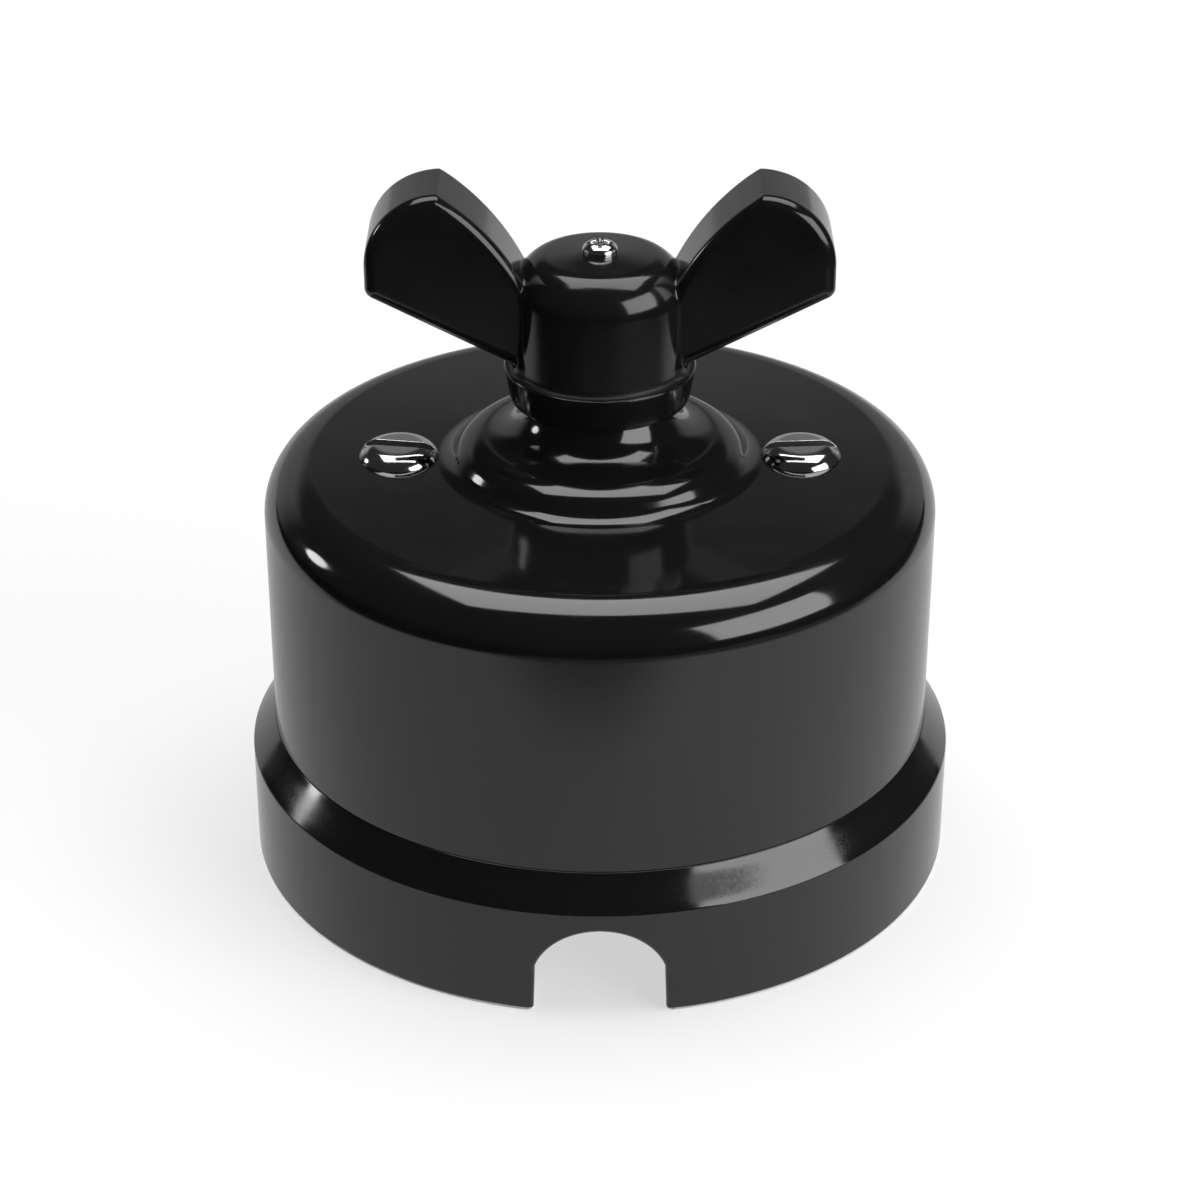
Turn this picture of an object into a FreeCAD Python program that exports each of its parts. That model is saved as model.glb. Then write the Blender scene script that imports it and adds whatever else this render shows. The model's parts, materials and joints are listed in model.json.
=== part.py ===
import FreeCAD, Part
import math
import os

# A surface-mounted rotary light switch: a porcelain base and cover, a winged
# knob on a vertical spindle, and the snap mechanism between them.
# Millimetres. The origin is the centre of the foot ring, on the wall plane.
# +Z points away from the wall, the knob's wings and the cover screws lie along X,
# and the cable notch faces -Y.

V = FreeCAD.Vector
UP = V(0, 0, 1)
ORIGIN = V(0, 0, 0)

# Driving sizes: base
bevel_w = 2.35           # how far the foot ring stands out below the cover
base_wall_h = 11.2       # height of the upright wall below the bevel
base_h = 14.4            # height of the seat that carries the cover
foot_wall_t = 4.5        # foot ring's wall around the hollow underside
deck_t = 4.0             # thickness of the deck that carries the mechanism
edge_r = 0.4             # glaze-rounded edges of the porcelain
underside_r = 1.2        # inner corner of the hollow underside
upstand_h = 2.6          # ring that locates the cover
upstand_t = 2.6          # thickness of that ring
pedestal_r = 4.9         # boss under the spindle
pedestal_h = 3.0         # height of the boss above the deck
socket_floor_t = 2.0     # porcelain left under the spindle's socket
notch_half_w = 6.05      # half width of the cable notch at its springing
notch_spring_h = 5.7     # height of the straight sides of the notch
notch_rise = 3.9         # rise of the notch's arch above its straight sides
notch_flare = 0.45       # how far each side opens out at the foot
wall_hole_r = 2.25       # holes for the screws into the wall
wall_hole_inset = 5.75   # from the locating ring's inner side
wire_hole_r = 2.7        # holes that bring the wires up to the terminals
wire_hole_inset = 4.75
wire_hole_angle = 22.5   # each stands this far round from its terminal

# Driving sizes: cover
cover_wall_t = 4.0       # wall and top thickness
headroom = 3.1           # between the bridge and the cover's ceiling
shoulder_r = 4.75        # rounding between the wall and the flat top
collar_foot_r = 14.7     # where the collar's flank would meet the flat top
collar_foot_fillet = 2.2
collar_bead_r = 12.8     # where the flank would meet the collar's upper step
collar_bead_h = 2.65
collar_bead_fillet = 3.2
neck_root_r = 7.7        # where the neck would meet the collar's upper step
neck_r = 6.85            # top of the neck, under the knob
neck_h = 6.0             # top of the neck above the flat top
neck_fillet = 4.4
neck_bore_gap = 1.8      # free passage around the spindle
collar_core_r = 9.0      # hollow under the collar
cover_seat_clearance = 0.3
pillar_inset = 6.25      # cover screws and pillars, from the locating ring

# Driving sizes: knob
knob_gap = 0.4           # between the neck and the knob's skirt
skirt_bottom_r = 8.6
skirt_top_r = 9.2
skirt_h = 3.5
skirt_edge_r = 0.5
skirt_rim_r = 0.15       # the skirt's upper edge is crisp
hub_r = 8.25
hub_h = 11.0             # from the skirt's upper edge to the flat top of the hub
hub_crown_w = 2.2        # how far the flat top's border stands inside the hub's side
hub_crown_drop = 1.8     # how far the hub's side would end below the flat top
hub_crown_r = 2.65       # rounding into the flat top
hub_shoulder_r = 4.0     # rounding into the side
hub_root_r = 0.2
wing_root_t = 7.7        # thickness of each wing at its waist
wing_end_t = 9.55        # thickness of each wing at its outer end
wing_reach = 21.95       # from the axis to the outermost point
wing_tip_x = 15.0
wing_tip_h = 18.25       # from the skirt's upper edge to the top of the wing
wing_outer_r = 6.95      # radius of the wing's outer end
wing_side_h = 2.75       # upright side, from the outer round to the lower corner
wing_lower_angle = 28.5  # rise of the lower edge
wing_waist_x = 6.9       # where the upper edge runs into the hub
wing_waist_drop = 9.45   # and how far it does so below the wing's top
wing_bulge = 0.87        # how far the upper edge stands out from a straight line
wing_edge_r = 1.25
wing_corner_r = 1.35
wing_root_l = 1.0        # each wing goes on into the hub past its waist
knob_rim_t = 2.0         # rim around the recess under the skirt
knob_recess_d = 1.2
knob_crown_t = 3.4       # solid crown above the spindle's end

# Driving sizes: spindle and rotor
spindle_r = 3.0
spindle_flat = 2.4       # half distance across the driving flats
pivot_r = 2.4            # lower journal
running_clearance = 0.05
end_clearance = 0.3
slip_clearance = 0.1     # knob on spindle, screw through plain hole
cam_half = 5.6           # half distance across the square detent cam
cam_corner_r = 1.2
cam_h = 5.0
drum_r = 8.0
drum_h = 8.3
drum_edge_r = 0.8
blade_lift = 2.0         # from the underside of the drum to the contact blade
blade_t = 1.0
blade_w = 6.0
blade_hub_r = 5.4        # round middle of the blade, held in the drum
blade_corner_r = 1.0
blade_end_gap = 1.2      # between the blade's ends and the jaws' webs
washer_t = 0.8
washer_r = 6.0

# Driving sizes: bearing bridge
bush_flange_t = 0.8
bush_flange_r = 6.0
bush_r = 4.5
bush_top = 1.6           # bush above the bridge
bridge_t = 1.5
bridge_w = 12.0
bridge_leg_gap = 1.05    # between the turning blade and the legs
bridge_foot_len = 7.0
bridge_bend_r = 1.0
bridge_screw_inset = 3.7
bridge_angle = 45.0      # the bridge stands across the terminals

# Driving sizes: detent springs
spring_t = 0.4
spring_w = 5.0
spring_bend_r = 3.6
spring_rise = 2.2
spring_lip_r = 0.9
spring_root_inset = 0.5  # spring's root ends short of the bridge's foot
spring_gap = 0.05

# Driving sizes: contacts and terminals
terminal_angle = 45.0    # place of the right terminal, turned from +X
terminal_inner = 14.8
terminal_len = 9.0
terminal_w = 8.0
terminal_gap = 1.95      # between a terminal and the locating ring
jaw_t = 0.8
jaw_w = 5.0
jaw_gap = 0.05
jaw_drum_gap = 1.2       # between the leaves and the drum
jaw_setback = 1.0        # web stands inside the terminal's inner end
jaw_bend_r = 0.65
jaw_foot_len = 3.9
wire_bore_r = 1.6
wire_bore_len = 4.6
wire_bore_h = 4.2
clamp_screw_inset = 6.8  # screw places, from the terminal's inner end
jaw_screw_inset = 2.2
mount_screw_inset = 2.6
terminal_edge = 0.5

# Driving sizes: pillars and screws
pillar_r = 3.2
pillar_gap = 0.2         # short of the cover, so that the cover seats on the base
cover_screw_r = 2.0
cover_screw_len = 14.0
cover_head_r = 3.9
cover_head_h = 1.25
cover_head_edge = 1.95
cover_slot_w = 1.0
slot_w = 0.85
slot_d = 0.8
left_slot_angle = -9.0   # degrees that each slot stands off the X axis
right_slot_angle = 4.0
bridge_slot_angle = 30.0
jaw_slot_angle = 70.0
clamp_slot_angle = 20.0
shank_tip = 0.25         # rounding of a screw's end, as a share of its radius
head_slope = 0.13        # lean of a head's side, as a share of its radius
small_screw_r = 1.5
small_head_r = 2.7
small_head_h = 1.8
small_head_edge = 0.9
jaw_head_r = 1.9
jaw_head_h = 1.1
jaw_head_edge = 0.4
jaw_slot_d = 0.4
clamp_head_r = 2.1
knob_screw_r = 1.0
knob_head_r = 1.85
knob_head_h = 1.22
knob_screw_len = 12.0
cross_w = 0.4
cross_d = 0.6
cross_reach = 0.55       # length of each arm, as a share of the head's radius
csk_head_r = 2.9
csk_head_h = 1.4
pillar_screw_len = 12.0
terminal_screw_len = 8.0
clamp_screw_len = 3.2
jaw_screw_len = 3.3
bridge_screw_len = 9.4
nut_r = 3.2
nut_h = 2.4

# Radii that follow from them, from the mechanism outwards
jaw_inner = drum_r + jaw_drum_gap
jaw_web = terminal_inner - jaw_setback
blade_reach = jaw_web - blade_end_gap
clamp_screw_r = terminal_inner + clamp_screw_inset
jaw_screw_r = terminal_inner + jaw_screw_inset
mount_screw_r = terminal_inner + mount_screw_inset
room_r = terminal_inner + terminal_len + terminal_gap
upstand_r = room_r + upstand_t
cover_inner_r = upstand_r + cover_seat_clearance
cover_r = cover_inner_r + cover_wall_t
base_r = cover_r + bevel_w
base_inner_r = base_r - foot_wall_t
screw_x = room_r - pillar_inset
wall_hole_y = room_r - wall_hole_inset
wire_hole_pitch_r = room_r - wire_hole_inset
neck_bore_r = spindle_r + neck_bore_gap
knob_recess_r = skirt_bottom_r - knob_rim_t
bridge_leg_y = math.hypot(blade_reach, blade_w / 2) + bridge_leg_gap + bridge_t
bridge_foot_y = bridge_leg_y + bridge_foot_len
bridge_screw_y = bridge_leg_y + bridge_screw_inset

# Levels that follow from them, from the foot upwards
deck_z = base_h - deck_t
pedestal_z = base_h + pedestal_h
cam_z = pedestal_z + end_clearance
drum_z = cam_z + cam_h
blade_z = drum_z + blade_lift
washer_z = drum_z + drum_h
bush_z = washer_z + washer_t
bridge_z = bush_z + bush_flange_t
bridge_top_z = bridge_z + bridge_t
bush_top_z = bridge_top_z + bush_top
ceiling_z = bridge_top_z + headroom
cover_top_z = ceiling_z + cover_wall_t
neck_top_z = cover_top_z + neck_h
knob_z = neck_top_z + knob_gap
skirt_z = knob_z + skirt_h
hub_top_z = skirt_z + hub_h
socket_z = deck_z + socket_floor_t
spindle_foot_z = socket_z + end_clearance
spindle_top_z = hub_top_z - knob_crown_t
terminal_top_z = blade_z - jaw_gap - 2 * jaw_t - end_clearance
pillar_top_z = ceiling_z - pillar_gap
foot_z = base_h + spring_t


# Outlines made of corners, each rounded by its own radius
def corner_arc(before, corner, after, radius):
    a = (before - corner).normalize()
    b = (after - corner).normalize()
    half = a.getAngle(b) / 2
    reach = radius / math.tan(half)
    middle = (a + b).normalize()
    centre = corner + middle * (radius / math.sin(half))
    return corner + a * reach, centre - middle * radius, corner + b * reach


def room_for_rounding(points, radii):
    """Radii cut down where the roundings at both ends of a side would overlap."""
    count = len(points)
    reaches = []
    for i in range(count):
        a = points[i - 1] - points[i]
        b = points[(i + 1) % count] - points[i]
        reaches.append(radii[i] / math.tan(a.getAngle(b) / 2))
    shares = [1.0] * count
    for i in range(count):
        j = (i + 1) % count
        needed = reaches[i] + reaches[j]
        side = points[i].distanceToPoint(points[j])
        if needed > side:
            shares[i] = min(shares[i], side / needed)
            shares[j] = min(shares[j], side / needed)
    return [radius * share for radius, share in zip(radii, shares)]


def rounded_wire(corners, place):
    """Closed wire through (a, b, radius) corners; place turns (a, b) into a point."""
    points = [place(a, b) for a, b, radius in corners]
    count = len(corners)
    radii = room_for_rounding(points, [radius for a, b, radius in corners])
    stops = []
    for i in range(count):
        radius = radii[i]
        if radius > 0:
            arc = corner_arc(points[i - 1], points[i], points[(i + 1) % count], radius)
            stops.append(arc)
        else:
            stops.append((points[i], None, points[i]))
    edges = []
    for i in range(count):
        start, middle, end = stops[i]
        if middle is not None:
            edges.append(Part.Arc(start, middle, end).toShape())
        following = stops[(i + 1) % count][0]
        if end.distanceToPoint(following) > 1e-6:
            edges.append(Part.LineSegment(end, following).toShape())
    return Part.Wire(edges)


def in_xz(a, b):
    return V(a, 0, b)


def in_yz(a, b):
    return V(0, a, b)


def in_xy(a, b):
    return V(a, b, 0)


def turned(corners):
    """Solid of revolution about Z from (radius, height, rounding) corners."""
    return Part.Face(rounded_wire(corners, in_xz)).revolve(ORIGIN, UP, 360)


def prism(corners, place, direction):
    """Rounded outline extruded both ways about its plane by half of direction."""
    face = Part.Face(rounded_wire(corners, place))
    face.translate(direction * -0.5)
    return face.extrude(direction)


def cylinder(radius, low, high, x=0.0, y=0.0):
    return Part.makeCylinder(radius, high - low, V(x, y, low), UP)


def box(x0, x1, y0, y1, z0, z1):
    return Part.makeBox(x1 - x0, y1 - y0, z1 - z0, V(x0, y0, z0))


def about_z(shape, degrees):
    copy = shape.copy()
    copy.rotate(ORIGIN, UP, degrees)
    return copy


def moved(shape, x=0.0, y=0.0, z=0.0):
    copy = shape.copy()
    copy.translate(V(x, y, z))
    return copy


def rounded_edges(shape, radius, chosen):
    return shape.makeFillet(radius, [edge for edge in shape.Edges if chosen(edge)])


def double_flat(radius, flat, low, high):
    """Round bar with two flats that face +Y and -Y."""
    return cylinder(radius, low, high).common(box(-radius, radius, -flat, flat, low, high))


# Screws
def slot(head_r, head_top, depth, width, turn):
    cut = box(-head_r - 1, head_r + 1, -width / 2, width / 2, head_top - depth, head_top + 1)
    return about_z(cut, turn)


def screw_body(head, shank_r, length):
    """Screw with its head's underside at z = 0 and its shank pointing down."""
    return turned(head + [
        (shank_r, 0, 0),
        (shank_r, -length, shank_r * shank_tip),
        (0, -length, 0),
    ])


def pan_screw(head_r, head_h, edge, shank_r, length):
    top_r = head_r * (1 - head_slope)
    return screw_body([(0, head_h, 0), (top_r, head_h, edge), (head_r, 0, 0)], shank_r, length)


def domed_screw(head_r, head_h, shank_r, length):
    """Screw with the cap of a sphere for its head."""
    sphere_r = (head_r ** 2 + head_h ** 2) / (2 * head_h)
    corner = sphere_r * head_h / head_r
    return screw_body([(0, head_h, 0), (corner, head_h, sphere_r), (head_r, 0, 0)], shank_r, length)


def slotted_screw(head_r, head_h, edge, shank_r, length, turn, depth, width):
    body = pan_screw(head_r, head_h, edge, shank_r, length)
    return body.cut(slot(head_r, head_h, depth, width, turn))


def countersunk_screw(length):
    """Countersunk screw pointing up, with its flat head at z = 0."""
    body = turned([
        (0, 0, 0),
        (csk_head_r, 0, 0),
        (small_screw_r, csk_head_h, 0),
        (small_screw_r, length, small_screw_r * shank_tip),
        (0, length, 0),
    ])
    return body.cut(box(-csk_head_r, csk_head_r, -slot_w / 2, slot_w / 2, 0, slot_d))


def countersunk_hole(x, y):
    """Hole through the deck for a countersunk screw from below."""
    cone = turned([
        (0, deck_z, 0),
        (csk_head_r, deck_z, 0),
        (small_screw_r + slip_clearance, deck_z + csk_head_h, 0),
        (small_screw_r + slip_clearance, base_h, 0),
        (0, base_h, 0),
    ])
    return moved(cone, x, y)


def polar(radius, degrees):
    angle = math.radians(degrees)
    return radius * math.cos(angle), radius * math.sin(angle)


TERMINAL_ANGLES = {"right": terminal_angle, "left": terminal_angle + 180}
BRIDGE_ANGLES = {"back": bridge_angle, "front": bridge_angle + 180}   # turned from +Y about Z
SIDES = {"right": 1, "left": -1}


# Base casting
def cable_notch():
    """Arched opening through the front of the foot ring."""
    wide = notch_half_w + notch_flare
    top = notch_spring_h + notch_rise
    edges = [
        Part.LineSegment(V(-wide, 0, -1), V(-notch_half_w, 0, notch_spring_h)).toShape(),
        Part.Arc(V(-notch_half_w, 0, notch_spring_h), V(0, 0, top),
                 V(notch_half_w, 0, notch_spring_h)).toShape(),
        Part.LineSegment(V(notch_half_w, 0, notch_spring_h), V(wide, 0, -1)).toShape(),
        Part.LineSegment(V(wide, 0, -1), V(-wide, 0, -1)).toShape(),
    ]
    face = Part.Face(Part.Wire(edges))
    start = base_inner_r - 2 * underside_r
    face.translate(V(0, -start, 0))
    return face.extrude(V(0, start - base_r - 1, 0))


def make_base():
    body = turned([
        (base_inner_r, 0, edge_r),
        (base_r, 0, edge_r),
        (base_r, base_wall_h, edge_r),
        (cover_r, base_h, edge_r / 2),
        (upstand_r, base_h, 0),
        (upstand_r, base_h + upstand_h, edge_r),
        (room_r, base_h + upstand_h, 0),
        (room_r, base_h, 0),
        (pedestal_r, base_h, 0),
        (pedestal_r, pedestal_z, 0),
        (pivot_r + running_clearance, pedestal_z, 0),
        (pivot_r + running_clearance, socket_z, 0),
        (0, socket_z, 0),
        (0, deck_z, 0),
        (base_inner_r, deck_z, underside_r),
    ])
    body = body.cut(cable_notch())
    for sign in (1, -1):
        body = body.cut(cylinder(wall_hole_r, deck_z - 1, base_h + 1, 0, sign * wall_hole_y))
        body = body.cut(countersunk_hole(sign * screw_x, 0))
    for angle in TERMINAL_ANGLES.values():
        x, y = polar(wire_hole_pitch_r, angle - wire_hole_angle)
        body = body.cut(cylinder(wire_hole_r, deck_z - 1, base_h + 1, x, y))
        x, y = polar(mount_screw_r, angle)
        body = body.cut(countersunk_hole(x, y))
    for angle in BRIDGE_ANGLES.values():
        x, y = polar(bridge_screw_y, 90 + angle)
        body = body.cut(cylinder(small_screw_r + slip_clearance, deck_z - 1, base_h + 1, x, y))
    return body


# Cover casting
def make_cover():
    body = turned([
        (cover_inner_r, base_h, 0),
        (cover_r, base_h, edge_r),
        (cover_r, cover_top_z, shoulder_r),
        (collar_foot_r, cover_top_z, collar_foot_fillet),
        (collar_bead_r, cover_top_z + collar_bead_h, collar_bead_fillet),
        (neck_root_r, cover_top_z + collar_bead_h, neck_fillet),
        (neck_r, neck_top_z, 0),
        (neck_bore_r, neck_top_z, edge_r),
        (neck_bore_r, cover_top_z, 0),
        (collar_core_r, ceiling_z, edge_r),
        (cover_inner_r, ceiling_z, shoulder_r / 2),
    ])
    for sign in (1, -1):
        hole = cylinder(cover_screw_r + slip_clearance, ceiling_z - 1, cover_top_z + 1, sign * screw_x)
        body = body.cut(hole)
    return body


# Knob: hub, skirt and two wings in one moulding
def wing_half(x):
    """Half thickness of a wing, which flares outwards."""
    share = (x - wing_waist_x) / (wing_reach - wing_waist_x)
    return (wing_root_t + (wing_end_t - wing_root_t) * share) / 2


def wing_outline(root_x):
    centre = V(wing_reach - wing_outer_r, 0, skirt_z + wing_tip_h - wing_outer_r)
    tip_angle = math.acos((wing_tip_x - centre.x) / wing_outer_r)
    tip = centre + V(math.cos(tip_angle), 0, math.sin(tip_angle)) * wing_outer_r
    middle = centre + V(math.cos(tip_angle / 2), 0, math.sin(tip_angle / 2)) * wing_outer_r
    outer = centre + V(wing_outer_r, 0, 0)
    lower = outer - V(0, 0, wing_side_h)
    fall = math.radians(wing_lower_angle)
    root_low = V(root_x, 0, lower.z - (lower.x - root_x) * math.tan(fall))
    waist = V(wing_waist_x, 0, skirt_z + wing_tip_h - wing_waist_drop)
    chord = waist - tip
    outward = V(chord.z, 0, -chord.x).normalize() * wing_bulge
    upper_middle = (tip + waist) * 0.5 + outward
    steepness = math.atan2(-chord.z, -chord.x) + 2 * math.atan(2 * wing_bulge / chord.Length)
    root_high = V(root_x, 0, waist.z - (waist.x - root_x) * math.tan(steepness))
    before, round_middle, after = corner_arc(outer, lower, root_low, wing_corner_r)
    return Part.Wire([
        Part.Arc(tip, middle, outer).toShape(),
        Part.LineSegment(outer, before).toShape(),
        Part.Arc(before, round_middle, after).toShape(),
        Part.LineSegment(after, root_low).toShape(),
        Part.LineSegment(root_low, root_high).toShape(),
        Part.LineSegment(root_high, waist).toShape(),
        Part.Arc(waist, upper_middle, tip).toShape(),
    ])


def wing():
    root_x = wing_waist_x - wing_root_l
    end_x = wing_reach + 1
    face = Part.Face(wing_outline(root_x))
    face.translate(V(0, -wing_end_t, 0))
    plate = face.extrude(V(0, 2 * wing_end_t, 0))
    plan = Part.Face(Part.Wire(Part.makePolygon([
        V(root_x, -wing_half(root_x), 0), V(end_x, -wing_half(end_x), 0),
        V(end_x, wing_half(end_x), 0), V(root_x, wing_half(root_x), 0),
        V(root_x, -wing_half(root_x), 0)])))
    solid = plate.common(plan.extrude(V(0, 0, skirt_z + wing_tip_h + 1)))

    def on_rim(edge):
        point = edge.valueAt((edge.FirstParameter + edge.LastParameter) / 2)
        return abs(abs(point.y) - wing_half(point.x)) < 1e-4 and edge.BoundBox.XMax > root_x + 0.1

    return rounded_edges(solid, wing_edge_r, on_rim)


def make_knob():
    hub = turned([
        (0, knob_z, 0),
        (skirt_bottom_r, knob_z, skirt_edge_r),
        (skirt_top_r, skirt_z, skirt_rim_r),
        (hub_r, skirt_z, hub_root_r),
        (hub_r, hub_top_z - hub_crown_drop, hub_shoulder_r),
        (hub_r - hub_crown_w, hub_top_z, hub_crown_r),
        (0, hub_top_z, 0),
    ])
    right = wing()
    body = hub.fuse([right, about_z(right, 180)])
    body = body.cut(cylinder(knob_recess_r, knob_z - 1, knob_z + knob_recess_d))
    bore = double_flat(spindle_r + slip_clearance, spindle_flat + slip_clearance, knob_z, spindle_top_z)
    body = body.cut(bore)
    return body.cut(cylinder(knob_screw_r + slip_clearance, spindle_top_z - 1, hub_top_z + 1))


def make_knob_screw():
    body = domed_screw(knob_head_r, knob_head_h, knob_screw_r, knob_screw_len)
    low = knob_head_h - cross_d
    reach = knob_head_r * cross_reach
    cross = box(-reach, reach, -cross_w / 2, cross_w / 2, low, knob_head_h + 1)
    body = body.cut(cross.fuse(about_z(cross, 90)))
    return moved(body, z=hub_top_z)


# Spindle and what turns with it
def make_spindle():
    body = cylinder(pivot_r, spindle_foot_z, cam_z)
    body = body.fuse(double_flat(spindle_r, spindle_flat, cam_z, washer_z))
    body = body.fuse(cylinder(spindle_r, washer_z, knob_z + knob_recess_d))
    body = body.fuse(double_flat(spindle_r, spindle_flat, knob_z + knob_recess_d, spindle_top_z))
    thread_depth = knob_screw_len - knob_crown_t + end_clearance
    body = body.cut(cylinder(knob_screw_r, spindle_top_z - thread_depth, spindle_top_z))
    return body.removeSplitter()


def make_detent_cam():
    half = cam_half
    block = Part.Face(rounded_wire([
        (-half, -half, cam_corner_r), (half, -half, cam_corner_r),
        (half, half, cam_corner_r), (-half, half, cam_corner_r)], in_xy))
    block.translate(V(0, 0, cam_z))
    body = about_z(block.extrude(V(0, 0, cam_h)), bridge_angle)
    return body.cut(double_flat(spindle_r, spindle_flat, cam_z, cam_z + cam_h))


def blade_blank():
    """Flat blade with a round middle, turned to its place between the terminals."""
    half = blade_w / 2
    face = Part.Face(rounded_wire([
        (-blade_reach, -half, blade_corner_r), (blade_reach, -half, blade_corner_r),
        (blade_reach, half, blade_corner_r), (-blade_reach, half, blade_corner_r)], in_xy))
    face.translate(V(0, 0, blade_z))
    blade = face.extrude(V(0, 0, blade_t)).fuse(cylinder(blade_hub_r, blade_z, blade_z + blade_t))
    return about_z(blade.removeSplitter(), 90 + bridge_angle)


def make_contact_bridge():
    return blade_blank().cut(cylinder(spindle_r + slip_clearance, blade_z, blade_z + blade_t))


def make_rotor_drum():
    body = turned([
        (0, drum_z, 0), (drum_r, drum_z, drum_edge_r),
        (drum_r, washer_z, drum_edge_r), (0, washer_z, 0)])
    body = body.cut(double_flat(spindle_r, spindle_flat, drum_z, washer_z))
    return body.cut(blade_blank())


def make_thrust_washer():
    ring = cylinder(washer_r, washer_z, bush_z)
    return ring.cut(cylinder(spindle_r + running_clearance, washer_z, bush_z))


# Bridge with the upper bearing
def make_bearing_bush():
    return turned([
        (spindle_r + running_clearance, bush_z, 0),
        (bush_flange_r, bush_z, 0),
        (bush_flange_r, bridge_z, 0),
        (bush_r, bridge_z, 0),
        (bush_r, bush_top_z, edge_r / 2),
        (spindle_r + running_clearance, bush_top_z, 0),
    ])


def make_bearing_bridge():
    bend = bridge_bend_r
    leg = bridge_leg_y
    inner = leg - bridge_t
    low = foot_z
    top = bridge_top_z
    outline = [
        (-bridge_foot_y, low, 0),
        (-inner, low, bend), (-inner, bridge_z, bend),
        (inner, bridge_z, bend), (inner, low, bend),
        (bridge_foot_y, low, 0), (bridge_foot_y, low + bridge_t, 0),
        (leg, low + bridge_t, bend / 2), (leg, top, bend + bridge_t),
        (-leg, top, bend + bridge_t), (-leg, low + bridge_t, bend / 2),
        (-bridge_foot_y, low + bridge_t, 0),
    ]
    body = prism(outline, in_yz, V(bridge_w, 0, 0))
    body = body.cut(cylinder(bush_r, bridge_z - 1, top + 1))
    for sign in (1, -1):
        y = sign * bridge_screw_y
        body = body.cut(cylinder(small_screw_r + slip_clearance, low - 1, low + bridge_t + 1, 0, y))
    return about_z(body, bridge_angle)


def make_detent_spring():
    """Leaf spring in the YZ plane: flat root, round bend up to the cam, curled lip."""
    face_y = cam_half + spring_gap
    root_end = bridge_foot_y - spring_root_inset
    outer = spring_bend_r + spring_t / 2
    inner = spring_bend_r - spring_t / 2
    bend_y = face_y + outer
    bend_z = base_h + outer
    rise_z = bend_z + spring_rise
    lip_y = face_y + spring_t + spring_lip_r
    diagonal = math.sqrt(0.5)
    wide = spring_lip_r + spring_t

    def at(y, z):
        return V(0, y, z)

    edges = [
        Part.LineSegment(at(root_end, base_h), at(bend_y, base_h)).toShape(),
        Part.Arc(at(bend_y, base_h), at(bend_y - outer * diagonal, bend_z - outer * diagonal),
                 at(face_y, bend_z)).toShape(),
        Part.LineSegment(at(face_y, bend_z), at(face_y, rise_z)).toShape(),
        Part.Arc(at(face_y, rise_z), at(lip_y - wide * diagonal, rise_z + wide * diagonal),
                 at(lip_y, rise_z + wide)).toShape(),
        Part.LineSegment(at(lip_y, rise_z + wide), at(lip_y, rise_z + spring_lip_r)).toShape(),
        Part.Arc(at(lip_y, rise_z + spring_lip_r),
                 at(lip_y - spring_lip_r * diagonal, rise_z + spring_lip_r * diagonal),
                 at(face_y + spring_t, rise_z)).toShape(),
        Part.LineSegment(at(face_y + spring_t, rise_z), at(face_y + spring_t, bend_z)).toShape(),
        Part.Arc(at(face_y + spring_t, bend_z), at(bend_y - inner * diagonal, bend_z - inner * diagonal),
                 at(bend_y, base_h + spring_t)).toShape(),
        Part.LineSegment(at(bend_y, base_h + spring_t), at(root_end, base_h + spring_t)).toShape(),
        Part.LineSegment(at(root_end, base_h + spring_t), at(root_end, base_h)).toShape(),
    ]
    face = Part.Face(Part.Wire(edges))
    face.translate(V(-spring_w / 2, 0, 0))
    body = face.extrude(V(spring_w, 0, 0))
    return body.cut(cylinder(small_screw_r + slip_clearance, base_h - 1, foot_z + 1, 0, bridge_screw_y))


def make_bridge_screw():
    body = slotted_screw(small_head_r, small_head_h, small_head_edge, small_screw_r,
                         bridge_screw_len, bridge_slot_angle, slot_d, slot_w)
    return moved(body, 0, bridge_screw_y, foot_z + bridge_t)


def make_bridge_nut():
    hexagon = Part.Face(Part.Wire(Part.makePolygon([
        V(nut_r * math.cos(math.radians(60 * k)), nut_r * math.sin(math.radians(60 * k)), 0)
        for k in range(7)])))
    nut = hexagon.extrude(V(0, 0, nut_h)).cut(cylinder(small_screw_r, -1, nut_h + 1))
    return moved(nut, 0, bridge_screw_y, deck_z - nut_h)


# Terminals and jaws, drawn along +X and then turned to their angle
def make_terminal():
    outer = terminal_inner + terminal_len
    body = box(terminal_inner, outer, -terminal_w / 2, terminal_w / 2, base_h, terminal_top_z)
    upright = [edge for edge in body.Edges if edge.BoundBox.ZLength > 1]
    body = body.makeFillet(terminal_edge, upright)
    wire_bore = Part.makeCylinder(wire_bore_r, wire_bore_len + 1,
                                  V(outer - wire_bore_len, 0, base_h + wire_bore_h), V(1, 0, 0))
    body = body.cut(wire_bore)
    wire_top = base_h + wire_bore_h
    body = body.cut(cylinder(small_screw_r, wire_top, terminal_top_z, clamp_screw_r))
    body = body.cut(cylinder(small_screw_r, terminal_top_z - jaw_screw_len, terminal_top_z, jaw_screw_r))
    depth = terminal_screw_len - deck_t + end_clearance
    return body.cut(cylinder(small_screw_r, base_h, base_h + depth, mount_screw_r))


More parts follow.
